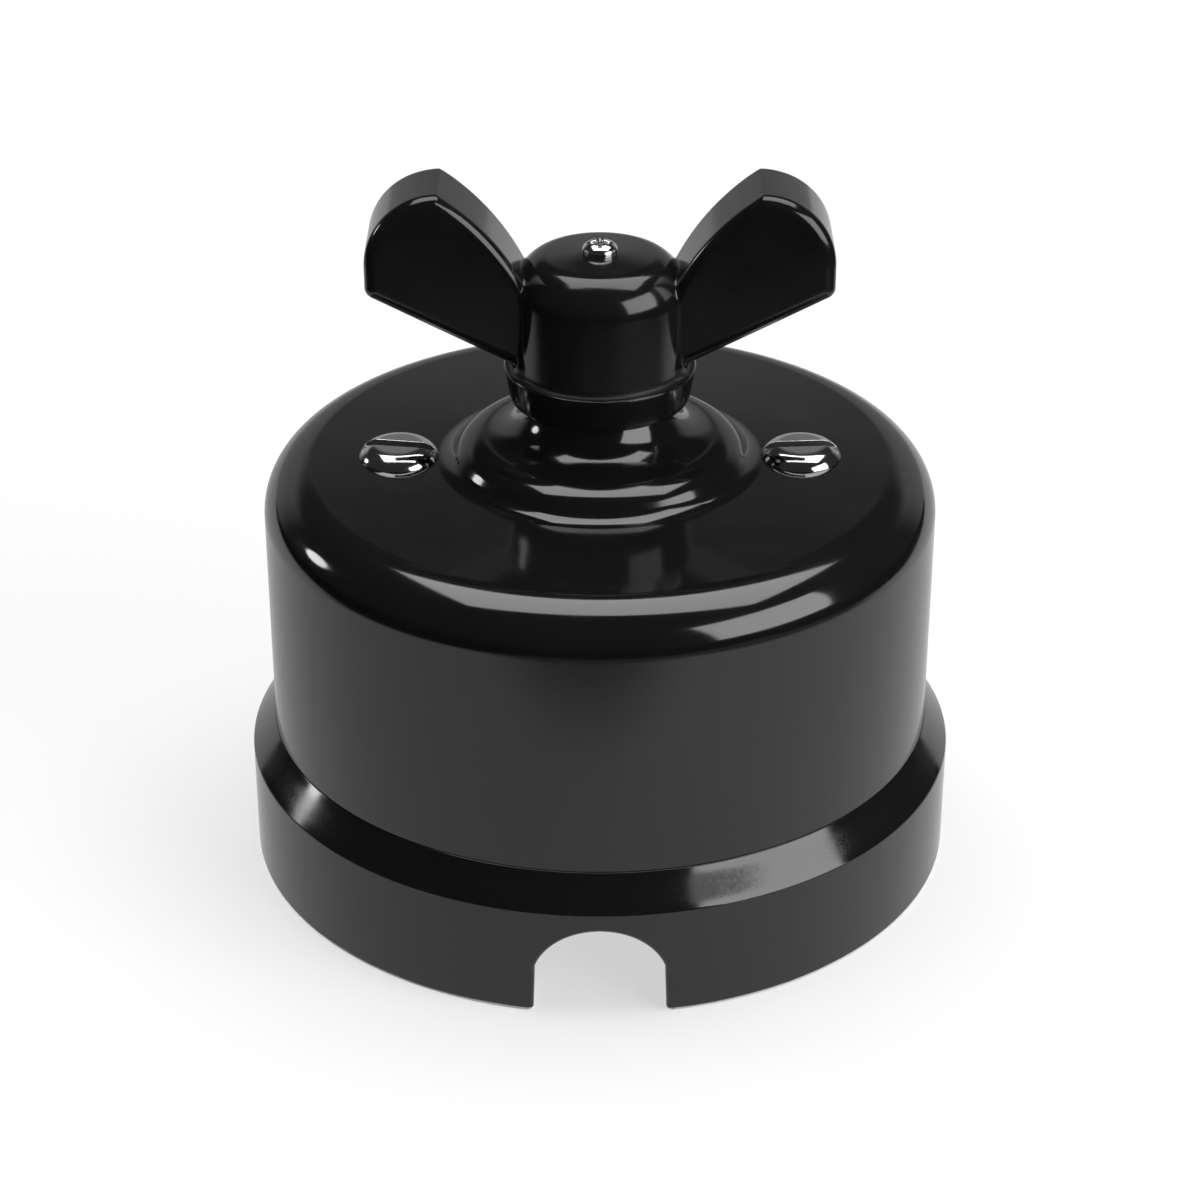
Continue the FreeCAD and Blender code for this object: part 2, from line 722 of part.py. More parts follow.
def make_contact_jaw():
    """Two spring leaves that hold the blade from above and below, on one foot."""
    low = terminal_top_z
    lower = blade_z - jaw_gap
    upper = blade_z + blade_t + jaw_gap
    web = jaw_web
    back = web + jaw_t
    foot_end = terminal_inner + jaw_foot_len
    outline = [
        (jaw_inner, lower - jaw_t, 0), (web, lower - jaw_t, 0), (web, low, 0),
        (foot_end, low, 0), (foot_end, low + jaw_t, 0), (back, low + jaw_t, 0),
        (back, upper + jaw_t, jaw_bend_r), (jaw_inner, upper + jaw_t, 0),
        (jaw_inner, upper, 0), (web, upper, 0), (web, lower, 0), (jaw_inner, lower, 0),
    ]
    body = prism(outline, in_xz, V(0, jaw_w, 0))
    hole = cylinder(small_screw_r + slip_clearance, low - 1, low + jaw_t + 1, jaw_screw_r)
    return body.cut(hole)


def make_jaw_screw():
    body = slotted_screw(jaw_head_r, jaw_head_h, jaw_head_edge, small_screw_r,
                         jaw_screw_len + jaw_t - end_clearance, jaw_slot_angle, jaw_slot_d, slot_w)
    return moved(body, jaw_screw_r, 0, terminal_top_z + jaw_t)


def make_clamp_screw():
    body = slotted_screw(clamp_head_r, small_head_h, small_head_edge, small_screw_r,
                         clamp_screw_len, clamp_slot_angle, slot_d, slot_w)
    return moved(body, clamp_screw_r, 0, terminal_top_z)


# Pillars and the screws that hold the cover
def make_pillar():
    body = cylinder(pillar_r, base_h, pillar_top_z)
    body = body.cut(cylinder(cover_screw_r, cover_top_z - cover_screw_len - end_clearance, pillar_top_z))
    depth = pillar_screw_len - deck_t + end_clearance
    return body.cut(cylinder(small_screw_r, base_h, base_h + depth))


def make_cover_screw(turn):
    body = slotted_screw(cover_head_r, cover_head_h, cover_head_edge, cover_screw_r,
                         cover_screw_len, turn, slot_d, cover_slot_w)
    return moved(body, z=cover_top_z)


def make_parts():
    parts = {
        "base": make_base(),
        "cover": make_cover(),
        "knob": make_knob(),
        "knob_screw": make_knob_screw(),
        "spindle": make_spindle(),
        "detent_cam": make_detent_cam(),
        "rotor_drum": make_rotor_drum(),
        "contact_bridge": make_contact_bridge(),
        "thrust_washer": make_thrust_washer(),
        "bearing_bush": make_bearing_bush(),
        "bearing_bridge": make_bearing_bridge(),
    }
    for side, sign in SIDES.items():
        turn = {"right": right_slot_angle, "left": left_slot_angle}[side]
        parts["cover_screw_" + side] = moved(make_cover_screw(turn), sign * screw_x)
        parts["pillar_" + side] = moved(make_pillar(), sign * screw_x)
        pillar_screw = countersunk_screw(pillar_screw_len)
        parts["pillar_screw_" + side] = moved(pillar_screw, sign * screw_x, 0, deck_z)
    for side, angle in TERMINAL_ANGLES.items():
        x, y = polar(mount_screw_r, angle)
        parts["terminal_" + side] = about_z(make_terminal(), angle)
        parts["terminal_screw_" + side] = moved(countersunk_screw(terminal_screw_len), x, y, deck_z)
        parts["clamp_screw_" + side] = about_z(make_clamp_screw(), angle)
        parts["contact_jaw_" + side] = about_z(make_contact_jaw(), angle)
        parts["jaw_screw_" + side] = about_z(make_jaw_screw(), angle)
    for side, angle in BRIDGE_ANGLES.items():
        parts["detent_spring_" + side] = about_z(make_detent_spring(), angle)
        parts["bridge_screw_" + side] = about_z(make_bridge_screw(), angle)
        parts["bridge_nut_" + side] = about_z(make_bridge_nut(), angle)
    return parts


os.makedirs("parts", exist_ok=True)
for name, shape in make_parts().items():
    solids = shape.Solids
    print(name, len(solids), round(shape.Volume, 2), shape.isValid())
    solid = solids[0] if len(solids) == 1 else shape
    solid.exportStep("parts/" + name + ".step")
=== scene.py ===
import json
import math

import bpy
import numpy as np
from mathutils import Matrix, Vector


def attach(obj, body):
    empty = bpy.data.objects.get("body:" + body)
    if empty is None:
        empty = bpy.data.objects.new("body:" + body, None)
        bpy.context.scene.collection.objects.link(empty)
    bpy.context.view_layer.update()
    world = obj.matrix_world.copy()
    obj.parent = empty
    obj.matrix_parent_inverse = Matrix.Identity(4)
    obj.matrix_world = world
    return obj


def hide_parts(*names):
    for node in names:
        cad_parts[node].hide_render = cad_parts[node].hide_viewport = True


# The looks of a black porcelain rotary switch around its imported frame. Shapes are
# worked out in millimetres, in the frame's own axes (X to the right, Y to the back,
# Z up), and turned into metres when a piece is made.
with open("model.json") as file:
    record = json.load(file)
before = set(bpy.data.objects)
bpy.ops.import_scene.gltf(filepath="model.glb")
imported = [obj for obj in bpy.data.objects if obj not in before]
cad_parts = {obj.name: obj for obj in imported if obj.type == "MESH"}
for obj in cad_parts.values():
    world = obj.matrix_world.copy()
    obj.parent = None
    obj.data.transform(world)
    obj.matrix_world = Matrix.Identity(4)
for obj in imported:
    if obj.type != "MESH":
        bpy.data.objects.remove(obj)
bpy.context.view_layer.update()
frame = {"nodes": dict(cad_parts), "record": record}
nodes = frame["nodes"]
scene = bpy.context.scene
MM = 0.001

# Sizes shared with the part's source, in millimetres
BASE_R = 35.0
BASE_INNER_R = 30.5
BASE_WALL_H = 11.2
BASE_H = 14.4
DECK_Z = 10.4
UNDERSIDE_R = 1.2
EDGE_R = 0.4
UPSTAND_R = 28.35
ROOM_R = 25.75
UPSTAND_Z = 17.0
PEDESTAL_R = 4.9
PEDESTAL_Z = 17.4
SOCKET_R = 2.45
SOCKET_Z = 12.4
WALL_HOLE_R = 2.25
WALL_HOLE_Y = 20.0
WIRE_HOLE_R = 2.7
WIRE_HOLE_AT = 21.0
WIRE_HOLE_ANGLE = 22.5
TERMINAL_ANGLES = (45.0, 225.0)
TERMINAL_SCREW_AT = 17.4
BRIDGE_SCREW_AT = 19.2
SMALL_HOLE_R = 1.6
CSK_HEAD_R = 2.9
CSK_HEAD_H = 1.4
SCREW_X = 19.5

COVER_R = 32.65
COVER_INNER_R = 28.65
COVER_TOP_Z = 41.2
CEILING_Z = 37.2
SHOULDER_R = 4.75
COLLAR_FOOT_R = 14.7
COLLAR_FOOT_FILLET = 2.2
COLLAR_BEAD_R = 12.8
COLLAR_BEAD_H = 2.65
COLLAR_BEAD_FILLET = 3.2
COLLAR_CORE_R = 9.0
NECK_ROOT_R = 7.7
NECK_FILLET = 4.4
NECK_R = 6.85
NECK_TOP_Z = 47.2
NECK_BORE_R = 4.8
COVER_HOLE_R = 2.1

KNOB_Z = 47.6
SKIRT_Z = 51.1
HUB_TOP_Z = 62.1
SKIRT_BOTTOM_R = 8.6
SKIRT_TOP_R = 9.2
RECESS_R = 6.6
RECESS_D = 1.2
SPINDLE_BORE_R = 3.1
SPINDLE_BORE_FLAT = 2.5
SPINDLE_TOP_Z = HUB_TOP_Z - 3.4
KNOB_SCREW_HOLE_R = 1.1

# Sizes of finer forms that both a shape and a material below need
LEDGE_R = 9.05            # the knob's root fillet ends here on the skirt's top
COVER_HEAD_H = 1.25
COVER_SLOT_W = 1.2

RING_SIDES = 256          # sides of the large turned pieces
HOLE_SIDES = 48
SHARP_ANGLE = math.radians(35)
SPARE = 1.0               # how far a cutter runs past the solid
TINY = 1e-9
FAR = 1e9
ON_AXIS = 1e-6            # points nearer to the axis than this are on it
TIE = 1e-6                # settles which of two equally near segments counts


# Flat outlines of lines and arcs, with exact distances and normals
class Line:
    """Straight segment of an outline, with the outside on its right."""

    def __init__(self, start, end):
        self.start, self.end = start, end
        run = end - start
        self.length = math.hypot(*run)
        self.out = np.array([run[1], -run[0]]) / self.length

    def gap(self, a, b):
        """Distance from points to the segment, and how far on its outer side they are."""
        (x0, y0), (x1, y1) = self.start, self.end
        along = ((a - x0) * (x1 - x0) + (b - y0) * (y1 - y0)) / self.length ** 2
        along = np.clip(along, 0, 1)
        gap = np.hypot(a - x0 - along * (x1 - x0), b - y0 - along * (y1 - y0))
        return gap, (a - x0) * self.out[0] + (b - y0) * self.out[1]

    def normal(self, a, b):
        return np.full(a.shape, self.out[0]), np.full(a.shape, self.out[1])

    def points(self, _step_degrees, longest):
        count = max(1, math.ceil(self.length / longest))
        return [self.start + (self.end - self.start) * k / count for k in range(count)]


class Arc:
    """Arc of an outline through three points; its sign is -1 where it is hollow."""

    def __init__(self, start, middle, end):
        (x0, y0), (x1, y1), (x2, y2) = start, middle, end
        d = 2 * (x0 * (y1 - y2) + x1 * (y2 - y0) + x2 * (y0 - y1))
        s0, s1, s2 = x0 * x0 + y0 * y0, x1 * x1 + y1 * y1, x2 * x2 + y2 * y2
        self.start, self.end = start, end
        self.centre = np.array([(s0 * (y1 - y2) + s1 * (y2 - y0) + s2 * (y0 - y1)) / d,
                                (s0 * (x2 - x1) + s1 * (x0 - x2) + s2 * (x1 - x0)) / d])
        self.radius = math.dist(self.centre, start)
        self.towards = (middle - self.centre) / self.radius
        first = (start - self.centre) / self.radius
        turn = (x1 - x0) * (y2 - y1) - (y1 - y0) * (x2 - x1)
        self.sign = 1.0 if turn > 0 else -1.0
        self.half = math.acos(max(-1.0, min(1.0, float(first @ self.towards))))

    def gap(self, a, b):
        """Distance from points to the arc, and how far on its outer side they are."""
        (x0, y0), (x1, y1), (cx, cy) = self.start, self.end, self.centre
        r = np.hypot(a - cx, b - cy)
        within = ((a - cx) * self.towards[0] + (b - cy) * self.towards[1]
                  >= r * math.cos(self.half))
        ends = np.minimum(np.hypot(a - x0, b - y0), np.hypot(a - x1, b - y1))
        side = (r - self.radius) * self.sign
        return np.where(within, np.abs(side), ends), side

    def normal(self, a, b):
        cx, cy = self.centre
        r = np.maximum(np.hypot(a - cx, b - cy), TINY)
        return (a - cx) / r * self.sign, (b - cy) / r * self.sign

    def points(self, step_degrees, _longest):
        count = max(2, math.ceil(math.degrees(2 * self.half) / step_degrees))
        middle = math.atan2(self.towards[1], self.towards[0])
        angles = [middle + self.sign * self.half * (2 * k / count - 1) for k in range(count)]
        return [self.centre + self.radius * np.array([math.cos(t), math.sin(t)])
                for t in angles]


class Outline:
    """Closed outline that runs anticlockwise. Steps are ("line", end) or ("arc", middle, end)."""

    def __init__(self, start, steps):
        self.segments = []
        here = np.array(start, float)
        for step in steps:
            end = np.array(step[-1], float)
            if step[0] == "arc":
                self.segments.append(Arc(here, np.array(step[1], float), end))
            elif math.hypot(*(end - here)) > TINY:
                self.segments.append(Line(here, end))
            here = end

    def distance(self, a, b):
        """Signed distance from points to the outline, negative inside."""
        best = np.full(a.shape, FAR)
        signed = np.full(a.shape, FAR)
        for segment in self.segments:
            gap, side = segment.gap(a, b)
            # Of two equally near segments, the one seen more squarely gives the sign
            key = gap - TIE * np.abs(side)
            nearer = key < best
            best = np.where(nearer, key, best)
            signed = np.where(nearer, np.where(side < 0, -gap, gap), signed)
        return signed

    def outward(self, a, b, reach):
        """Unit direction in which the distance grows at the given points."""
        da = self.distance(a + reach, b) - self.distance(a - reach, b)
        db = self.distance(a, b + reach) - self.distance(a, b - reach)
        size = np.maximum(np.hypot(da, db), TINY)
        return da / size, db / size

    def nearest(self, a, b):
        """Number of the segment that is nearest to each point."""
        return np.argmin([segment.gap(a, b)[0] for segment in self.segments], axis=0)

    def points(self, step_degrees=3.0, longest=FAR):
        """Points along the outline, each once."""
        return [p for segment in self.segments for p in segment.points(step_degrees, longest)]


def rounded(corners):
    """Outline through anticlockwise (a, b, radius) corners."""
    points = [np.array(c[:2], float) for c in corners]
    stops = []
    for i, corner in enumerate(points):
        radius = corners[i][2]
        if radius <= 0:
            stops.append((corner, None, corner))
            continue
        before = points[i - 1] - corner
        after = points[(i + 1) % len(points)] - corner
        before /= math.hypot(*before)
        after /= math.hypot(*after)
        half = math.acos(max(-1.0, min(1.0, float(before @ after)))) / 2
        middle = (before + after) / math.hypot(*(before + after))
        reach = radius / math.tan(half)
        centre = corner + middle * radius / math.sin(half)
        stops.append((corner + before * reach, centre - middle * radius, corner + after * reach))
    steps = []
    for i, (_, middle, end) in enumerate(stops):
        if middle is not None:
            steps.append(("arc", middle, end))
        steps.append(("line", stops[(i + 1) % len(stops)][0]))
    return Outline(stops[0][0], steps)


# Meshes
def new_mesh(name, vertices, faces):
    mesh = bpy.data.meshes.new(name)
    mesh.from_pydata([tuple(v) for v in np.asarray(vertices, float)], [], faces)
    mesh.update()
    return mesh


def new_object(name, data):
    obj = bpy.data.objects.new(name, data)
    scene.collection.objects.link(obj)
    return obj


def vertices_of(mesh):
    flat = np.empty(len(mesh.vertices) * 3)
    mesh.vertices.foreach_get("co", flat)
    return flat.reshape(-1, 3)


def numbers(items, key):
    """One whole number of each of a mesh's faces or corners."""
    found = np.empty(len(items), int)
    items.foreach_get(key, found)
    return found


def one_material(mesh, material):
    mesh.polygons.foreach_set("material_index", [0] * len(mesh.polygons))
    mesh.materials.clear()
    mesh.materials.append(material)


def baked(obj, name):
    """Mesh of an object with its modifiers in it; the object itself is removed."""
    graph = bpy.context.evaluated_depsgraph_get()
    mesh = bpy.data.meshes.new_from_object(obj.evaluated_get(graph))
    mesh.name = name
    bpy.data.objects.remove(obj)
    return mesh


def lathe(outline, count, step_degrees=3.0, longest=FAR):
    """Closed surface of revolution about Z from an outline of (radius, height)."""
    vertices, rings = [], []
    for r, z in outline.points(step_degrees, longest):
        if r < ON_AXIS:
            rings.append([len(vertices)])
            vertices.append((0.0, 0.0, z))
        else:
            rings.append(list(range(len(vertices), len(vertices) + count)))
            for k in range(count):
                angle = 2 * math.pi * k / count
                vertices.append((r * math.cos(angle), r * math.sin(angle), z))
    faces = []
    for i, low in enumerate(rings):
        high = rings[(i + 1) % len(rings)]
        if len(low) == 1 and len(high) == 1:
            continue
        for k in range(count):
            n = (k + 1) % count
            if len(low) == 1:
                faces.append((low[0], high[n], high[k]))
            elif len(high) == 1:
                faces.append((low[k], low[n], high[0]))
            else:
                faces.append((low[k], low[n], high[n], high[k]))
    return vertices, faces


def cut(name, body, cutters):
    """Body with the cutters taken out; faces left by a cutter get material 1."""
    obj = new_object(name, new_mesh(name, *body))
    vertices, faces = [], []
    for more, sides in cutters:
        faces += [tuple(i + len(vertices) for i in side) for side in sides]
        vertices += list(more)
    tool = new_object(name + "_tool", new_mesh(name + "_tool", vertices, faces))
    for item in (obj, tool):
        for label in ("skin", "cut"):
            item.data.materials.append(bpy.data.materials.new(name + "_" + label))
    tool.data.polygons.foreach_set("material_index", [1] * len(tool.data.polygons))
    boolean = obj.modifiers.new("cut", "BOOLEAN")
    boolean.object = tool
    boolean.operation = "DIFFERENCE"
    boolean.solver = "EXACT"
    boolean.material_mode = "INDEX"
    mesh = baked(obj, name)
    bpy.data.objects.remove(tool)
    return mesh


def turned_normals(mesh, outline, cut_normals=None):
    """Exact normals for a turned mesh, and those of cut_normals for its cut faces.

    A zero normal leaves the corner to Blender.
    """
    starts = numbers(mesh.polygons, "loop_start")
    totals = numbers(mesh.polygons, "loop_total")
    marks = numbers(mesh.polygons, "material_index")
    owner = np.repeat(np.arange(len(totals)), totals)
    at = vertices_of(mesh)[numbers(mesh.loops, "vertex_index")]
    radius = np.hypot(at[:, 0], at[:, 1])
    mean_r = np.add.reduceat(radius, starts) / totals
    mean_z = np.add.reduceat(at[:, 2], starts) / totals
    nearest = outline.nearest(mean_r, mean_z)[owner]
    normals = np.zeros((len(at), 3))
    for index, segment in enumerate(outline.segments):
        mine = nearest == index
        nr, nz = segment.normal(radius[mine], at[mine, 2])
        r = np.maximum(radius[mine], TINY)
        normals[mine] = np.stack([nr * at[mine, 0] / r, nr * at[mine, 1] / r, nz], 1)
    is_cut = marks[owner] == 1
    normals[is_cut] = 0.0
    if cut_normals is not None:
        found = cut_normals(at)
        use = is_cut & (np.abs(found).sum(1) > 0)
        normals[use] = found[use]
    return normals


def finish_piece(name, mesh, body, replaced, material, normals=None, vertex_normals=None):
    """Turns a millimetre mesh into a piece that stands for one CAD node."""
    mesh.vertices.foreach_set("co", (vertices_of(mesh) * MM).ravel())
    mesh.polygons.foreach_set("use_smooth", [True] * len(mesh.polygons))
    mesh.update()
    mesh.set_sharp_from_angle(angle=SHARP_ANGLE)
    if vertex_normals is not None:
        mesh.normals_split_custom_set_from_vertices(vertex_normals.tolist())
    else:
        mesh.normals_split_custom_set(normals.tolist())
    one_material(mesh, material)
    obj = new_object(name, mesh)
    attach(obj, body)
    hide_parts(replaced)


# Solids given by a distance, for what can't be turned
def turned_distance(outline, p):
    return outline.distance(np.hypot(p[:, 0], p[:, 1]), p[:, 2])


def union_round(a, b, r):
    """Either of two solids, with a fillet of radius r where they meet."""
    return np.maximum(r, np.minimum(a, b)) - np.hypot(np.maximum(r - a, 0), np.maximum(r - b, 0))


def both_round(a, b, r):
    """What two solids share, with its edges rounded by r."""
    return np.minimum(-r, np.maximum(a, b)) + np.hypot(np.maximum(r + a, 0), np.maximum(r + b, 0))


def slopes(field, p, reach):
    """How fast the field grows along each axis."""
    g = np.empty_like(p)
    for k in range(3):
        q = p.copy()
        q[:, k] += reach
        high = field(q)
        q[:, k] -= 2 * reach
        g[:, k] = (high - field(q)) / (2 * reach)
    return g


KNOB_VOXEL = 0.19         # grain of the remade meshes
COVER_SCREW_VOXEL = 0.075
KNOB_SCREW_VOXEL = 0.055
FIT_ROUNDS = 5
LONGEST_STEP = 2          # in voxels, as are the probes
STEP_PROBE = 0.05
NORMAL_PROBE = 0.1
FLATTEST = 0.2            # least squared slope that a step is divided by


def fitted(node, field, voxel):
    """The node's surface remade in even faces and moved onto the field's zero level."""
    obj = new_object(node + "_rough", nodes[node].data.copy())
    obj.data.vertices.foreach_set("co", (vertices_of(obj.data) / MM).ravel())
    obj.data.update()
    remesh = obj.modifiers.new("even", "REMESH")
    remesh.mode = "VOXEL"
    remesh.voxel_size = voxel
    mesh = baked(obj, node + "_fine")
    p = vertices_of(mesh)
    for _ in range(FIT_ROUNDS):
        g = slopes(field, p, voxel * STEP_PROBE)
        step = field(p) / np.maximum((g * g).sum(1), FLATTEST)
        p -= np.clip(step, -voxel * LONGEST_STEP, voxel * LONGEST_STEP)[:, None] * g
    mesh.vertices.foreach_set("co", p.ravel())
    mesh.update()
    n = slopes(field, p, voxel * NORMAL_PROBE)
    n /= np.maximum(np.linalg.norm(n, axis=1, keepdims=True), TINY)
    return mesh, n


# Materials
class Tree:
    """Short ways to add and join the nodes of a material or a world."""

    def __init__(self, owner):
        owner.use_nodes = True
        self.tree = owner.node_tree

    def add(self, kind, **settings):
        node = self.tree.nodes.new(kind)
        for key, value in settings.items():
            setattr(node, key, value)
        return node

    def join(self, source, socket):
        self.tree.links.new(source, socket)

    def value(self, socket, value):
        """Gives a socket a constant, or joins another socket to it."""
        if isinstance(value, bpy.types.NodeSocket):
            self.join(value, socket)
        else:
            socket.default_value = value

    def math(self, operation, a, b=0.0):
        node = self.add("ShaderNodeMath", operation=operation)
        self.value(node.inputs[0], a)
        self.value(node.inputs[1], b)
        return node.outputs[0]

    def times(self, a, b):
        return self.math("MULTIPLY", a, b)

    def length(self, a, b):
        return self.math("SQRT", self.math("ADD", self.times(a, a), self.times(b, b)))

    def parts(self, vector):
        """The three parts of a vector."""
        node = self.add("ShaderNodeSeparateXYZ")
        self.join(vector, node.inputs[0])
        return node.outputs[0], node.outputs[1], node.outputs[2]

    def span(self, source, low, high, to_low=0.0, to_high=1.0, curve="LINEAR"):
        """Maps low..high of a value onto to_low..to_high, held at the ends."""
        node = self.add("ShaderNodeMapRange", interpolation_type=curve)
        self.join(source, node.inputs["Value"])
        for name, value in (("From Min", low), ("From Max", high),
                            ("To Min", to_low), ("To Max", to_high)):
            node.inputs[name].default_value = value
        return node.outputs["Result"]

    def ramp(self, source, low, high):
        """Rises softly from 0 at low to 1 at high."""
        return self.span(source, low, high, curve="SMOOTHSTEP")


class Surface(Tree):
    """Principled material whose patterns are laid in the object's own coordinates."""

    def __init__(self, name):
        self.material = bpy.data.materials.new(name)
        super().__init__(self.material)
        self.shader = self.tree.nodes["Principled BSDF"]
        self.coords = self.add("ShaderNodeTexCoord").outputs["Object"]

    def noise(self, size_mm, detail=2.0, roughness=0.5, stretch=None, distortion=0.0):
        """Noise from 0 to 1 whose grain is about size_mm."""
        node = self.add("ShaderNodeTexNoise")
        node.inputs["Scale"].default_value = 1.0 / (size_mm * MM)
        node.inputs["Detail"].default_value = detail
        node.inputs["Roughness"].default_value = roughness
        node.inputs["Distortion"].default_value = distortion
        source = self.coords
        if stretch:
            mapping = self.add("ShaderNodeMapping")
            mapping.inputs["Scale"].default_value = stretch
            self.join(source, mapping.inputs["Vector"])
            source = mapping.outputs[0]
        self.join(source, node.inputs["Vector"])
        return node.outputs["Fac"]

    def mix(self, kind, fac, first, second):
        node = self.add("ShaderNodeMix", data_type=kind)
        self.value(node.inputs["Factor"], fac)
        self.value(node.inputs["A"], first)
        self.value(node.inputs["B"], second)
        return node.outputs["Result"]

    def colours(self, fac, first, second):
        return self.mix("RGBA", fac, first, second)

    def blend(self, fac, first, second):
        return self.mix("FLOAT", fac, first, second)

    def bump(self, height, depth_mm, after=None):
        node = self.add("ShaderNodeBump")
        node.inputs["Strength"].default_value = 1.0
        node.inputs["Distance"].default_value = depth_mm * MM
        self.join(height, node.inputs["Height"])
        if after is not None:
            self.join(after, node.inputs["Normal"])
        return node.outputs["Normal"]

    def below(self, source, edge, curve="LINEAR"):
        """1 below an edge and 0 above it, where the edge is the stretch in mm that it takes."""
        return self.span(source, edge[0] * MM, edge[1] * MM, 1.0, 0.0, curve)

    def between(self, source, rise, fall, curve="LINEAR"):
        """1 between two edges, each the stretch in mm over which it rises or falls."""
        start = self.span(source, rise[0] * MM, rise[1] * MM, 0.0, 1.0, curve)
        return self.times(start, self.below(source, fall, curve))

    def finish(self, colour, roughness, normal):
        """Joins what varies over the surface to the shader."""
        self.join(colour, self.shader.inputs["Base Color"])
        self.join(roughness, self.shader.inputs["Roughness"])
        self.join(normal, self.shader.inputs["Normal"])
        return self.material


# Where the base's glaze changes: edges in millimetres, each the stretch that it takes
BARE_FOOT = (0.34, 0.44)
HOLLOW_R = (BASE_INNER_R + 0.2, BASE_INNER_R + 0.3)
HOLLOW_Z = (DECK_Z + 0.01, DECK_Z + 0.03)
WIPED_Z = (BASE_WALL_H + 0.2, BASE_WALL_H + 1.0), (BASE_H - 1.1, BASE_H - 0.3)
WIPED_R = (COVER_R - 0.15, COVER_R + 0.05)
SMEAR_X = (7.5, 10.5), (12.5, 17.0)
FRONT_Y = (-1.0, 0.0)
BARE_ROUGHNESS = 0.62


def glaze(name, bare_foot=False):
    """Black fired glaze with slow waves; the base shows its bare body at the foot."""
    m = Surface(name)
    m.shader.inputs["IOR"].default_value = 1.62
    tint = m.colours(m.noise(9.0), (0.0055, 0.0055, 0.006, 1), (0.0085, 0.008, 0.008, 1))
    rough = m.span(m.noise(5.0, 3.0), 0.3, 0.7, 0.075, 0.12)
    waves = m.bump(m.noise(13.0, 1.0), 0.03)
    skin = m.bump(m.noise(0.9, 1.0), 0.0004, waves)
    if not bare_foot:
        return m.finish(tint, rough, skin)

    x, y, z = m.parts(m.coords)
    radius = m.length(x, y)
    wander = m.span(m.noise(14.0, 1.0), 0.3, 0.7, -0.05 * MM, 0.05 * MM)
    foot = m.below(m.math("ADD", z, wander), BARE_FOOT)
    hollow = m.times(m.below(radius, HOLLOW_R), m.below(z, HOLLOW_Z))
    bare = m.math("MAXIMUM", foot, hollow)
    # The middle of the bevel is wiped and duller than its borders
    off_wall = m.span(radius, WIPED_R[0] * MM, WIPED_R[1] * MM)
    wiped = m.times(m.between(z, *WIPED_Z, "SMOOTHSTEP"), off_wall)
    rough = m.blend(wiped, rough, m.span(m.noise(0.22, 3.0), 0.35, 0.65, 0.10, 0.17))
    # One smear on the bevel, right of the notch, is duller still
    smear = m.times(m.between(x, *SMEAR_X, "SMOOTHSTEP"), wiped)
    smear = m.times(smear, m.below(y, FRONT_Y))
    rough = m.blend(smear, rough, m.span(m.noise(0.3, 3.0), 0.35, 0.65, 0.34, 0.48))
    clay = m.colours(m.noise(1.2, 4.0), (0.62, 0.6, 0.56, 1), (0.74, 0.72, 0.68, 1))
    scratches = m.times(m.noise(0.13, 2.0, 0.6, stretch=(1, 1, 0.5)), wiped)
    grain = m.times(m.noise(0.25, 3.0), bare)
    return m.finish(m.colours(bare, tint, clay), m.blend(bare, rough, BARE_ROUGHNESS),
                    m.bump(grain, 0.03, m.bump(scratches, 0.0006, skin)))


# The ledge around the hub's root: edges in millimetres
LEDGE_Z = (SKIRT_Z - 0.06, SKIRT_Z - 0.02), (SKIRT_Z + 0.3, SKIRT_Z + 0.7)
LEDGE_EDGE = (LEDGE_R - 0.1, LEDGE_R)
LEDGE_ROUGHNESS = 0.5


def moulding(name, dark, light, roughness, matt_ledge=False):
    """Pressed thermoset: glossy skin, fine filler and a slight pull of the surface."""
    m = Surface(name)
    m.shader.inputs["IOR"].default_value = 1.5
    filler = m.times(m.noise(0.35, 4.0), m.noise(6.0))
    rough = m.span(m.noise(2.5, 3.0), 0.3, 0.7, *roughness)
    if matt_ledge:
        # The corner between hub and skirt keeps the duller skin of the mould
        x, y, z = m.parts(m.coords)
        ledge = m.times(m.between(z, *LEDGE_Z), m.below(m.length(x, y), LEDGE_EDGE))
        rough = m.blend(ledge, rough, LEDGE_ROUGHNESS)
    pull = m.bump(m.noise(6.0, 1.0), 0.012)
    return m.finish(m.colours(m.span(filler, 0.15, 0.4), dark, light), rough,
                    m.bump(m.noise(0.3, 2.0), 0.0006, pull))


def metal(name, dark, light, roughness, brush=(1, 1, 1), depth=0.0012):
    """Bare or plated metal with turning or rolling marks and small stains."""
    m = Surface(name)
    m.shader.inputs["Metallic"].default_value = 1.0
    marks = m.noise(0.35, 3.0, 0.6, stretch=brush)
    wear = m.math("ADD", marks, m.noise(1.6, 3.0))
    return m.finish(m.colours(m.noise(5.0, 4.0), dark, light),
                    m.span(wear, 0.7, 1.3, *roughness), m.bump(marks, depth))


CHROME_DARK = (0.62, 0.63, 0.65, 1)
CHROME_LIGHT = (0.72, 0.73, 0.74, 1)
# Painted shade: the dark grey that stands in for the shade inside the screws' slots
SLOT_PAINTED_SHADE = (0.24, 0.24, 0.25, 1)
SLOT_ROUGHNESS = 0.42
FLAT_ROUGHNESS = 0.24


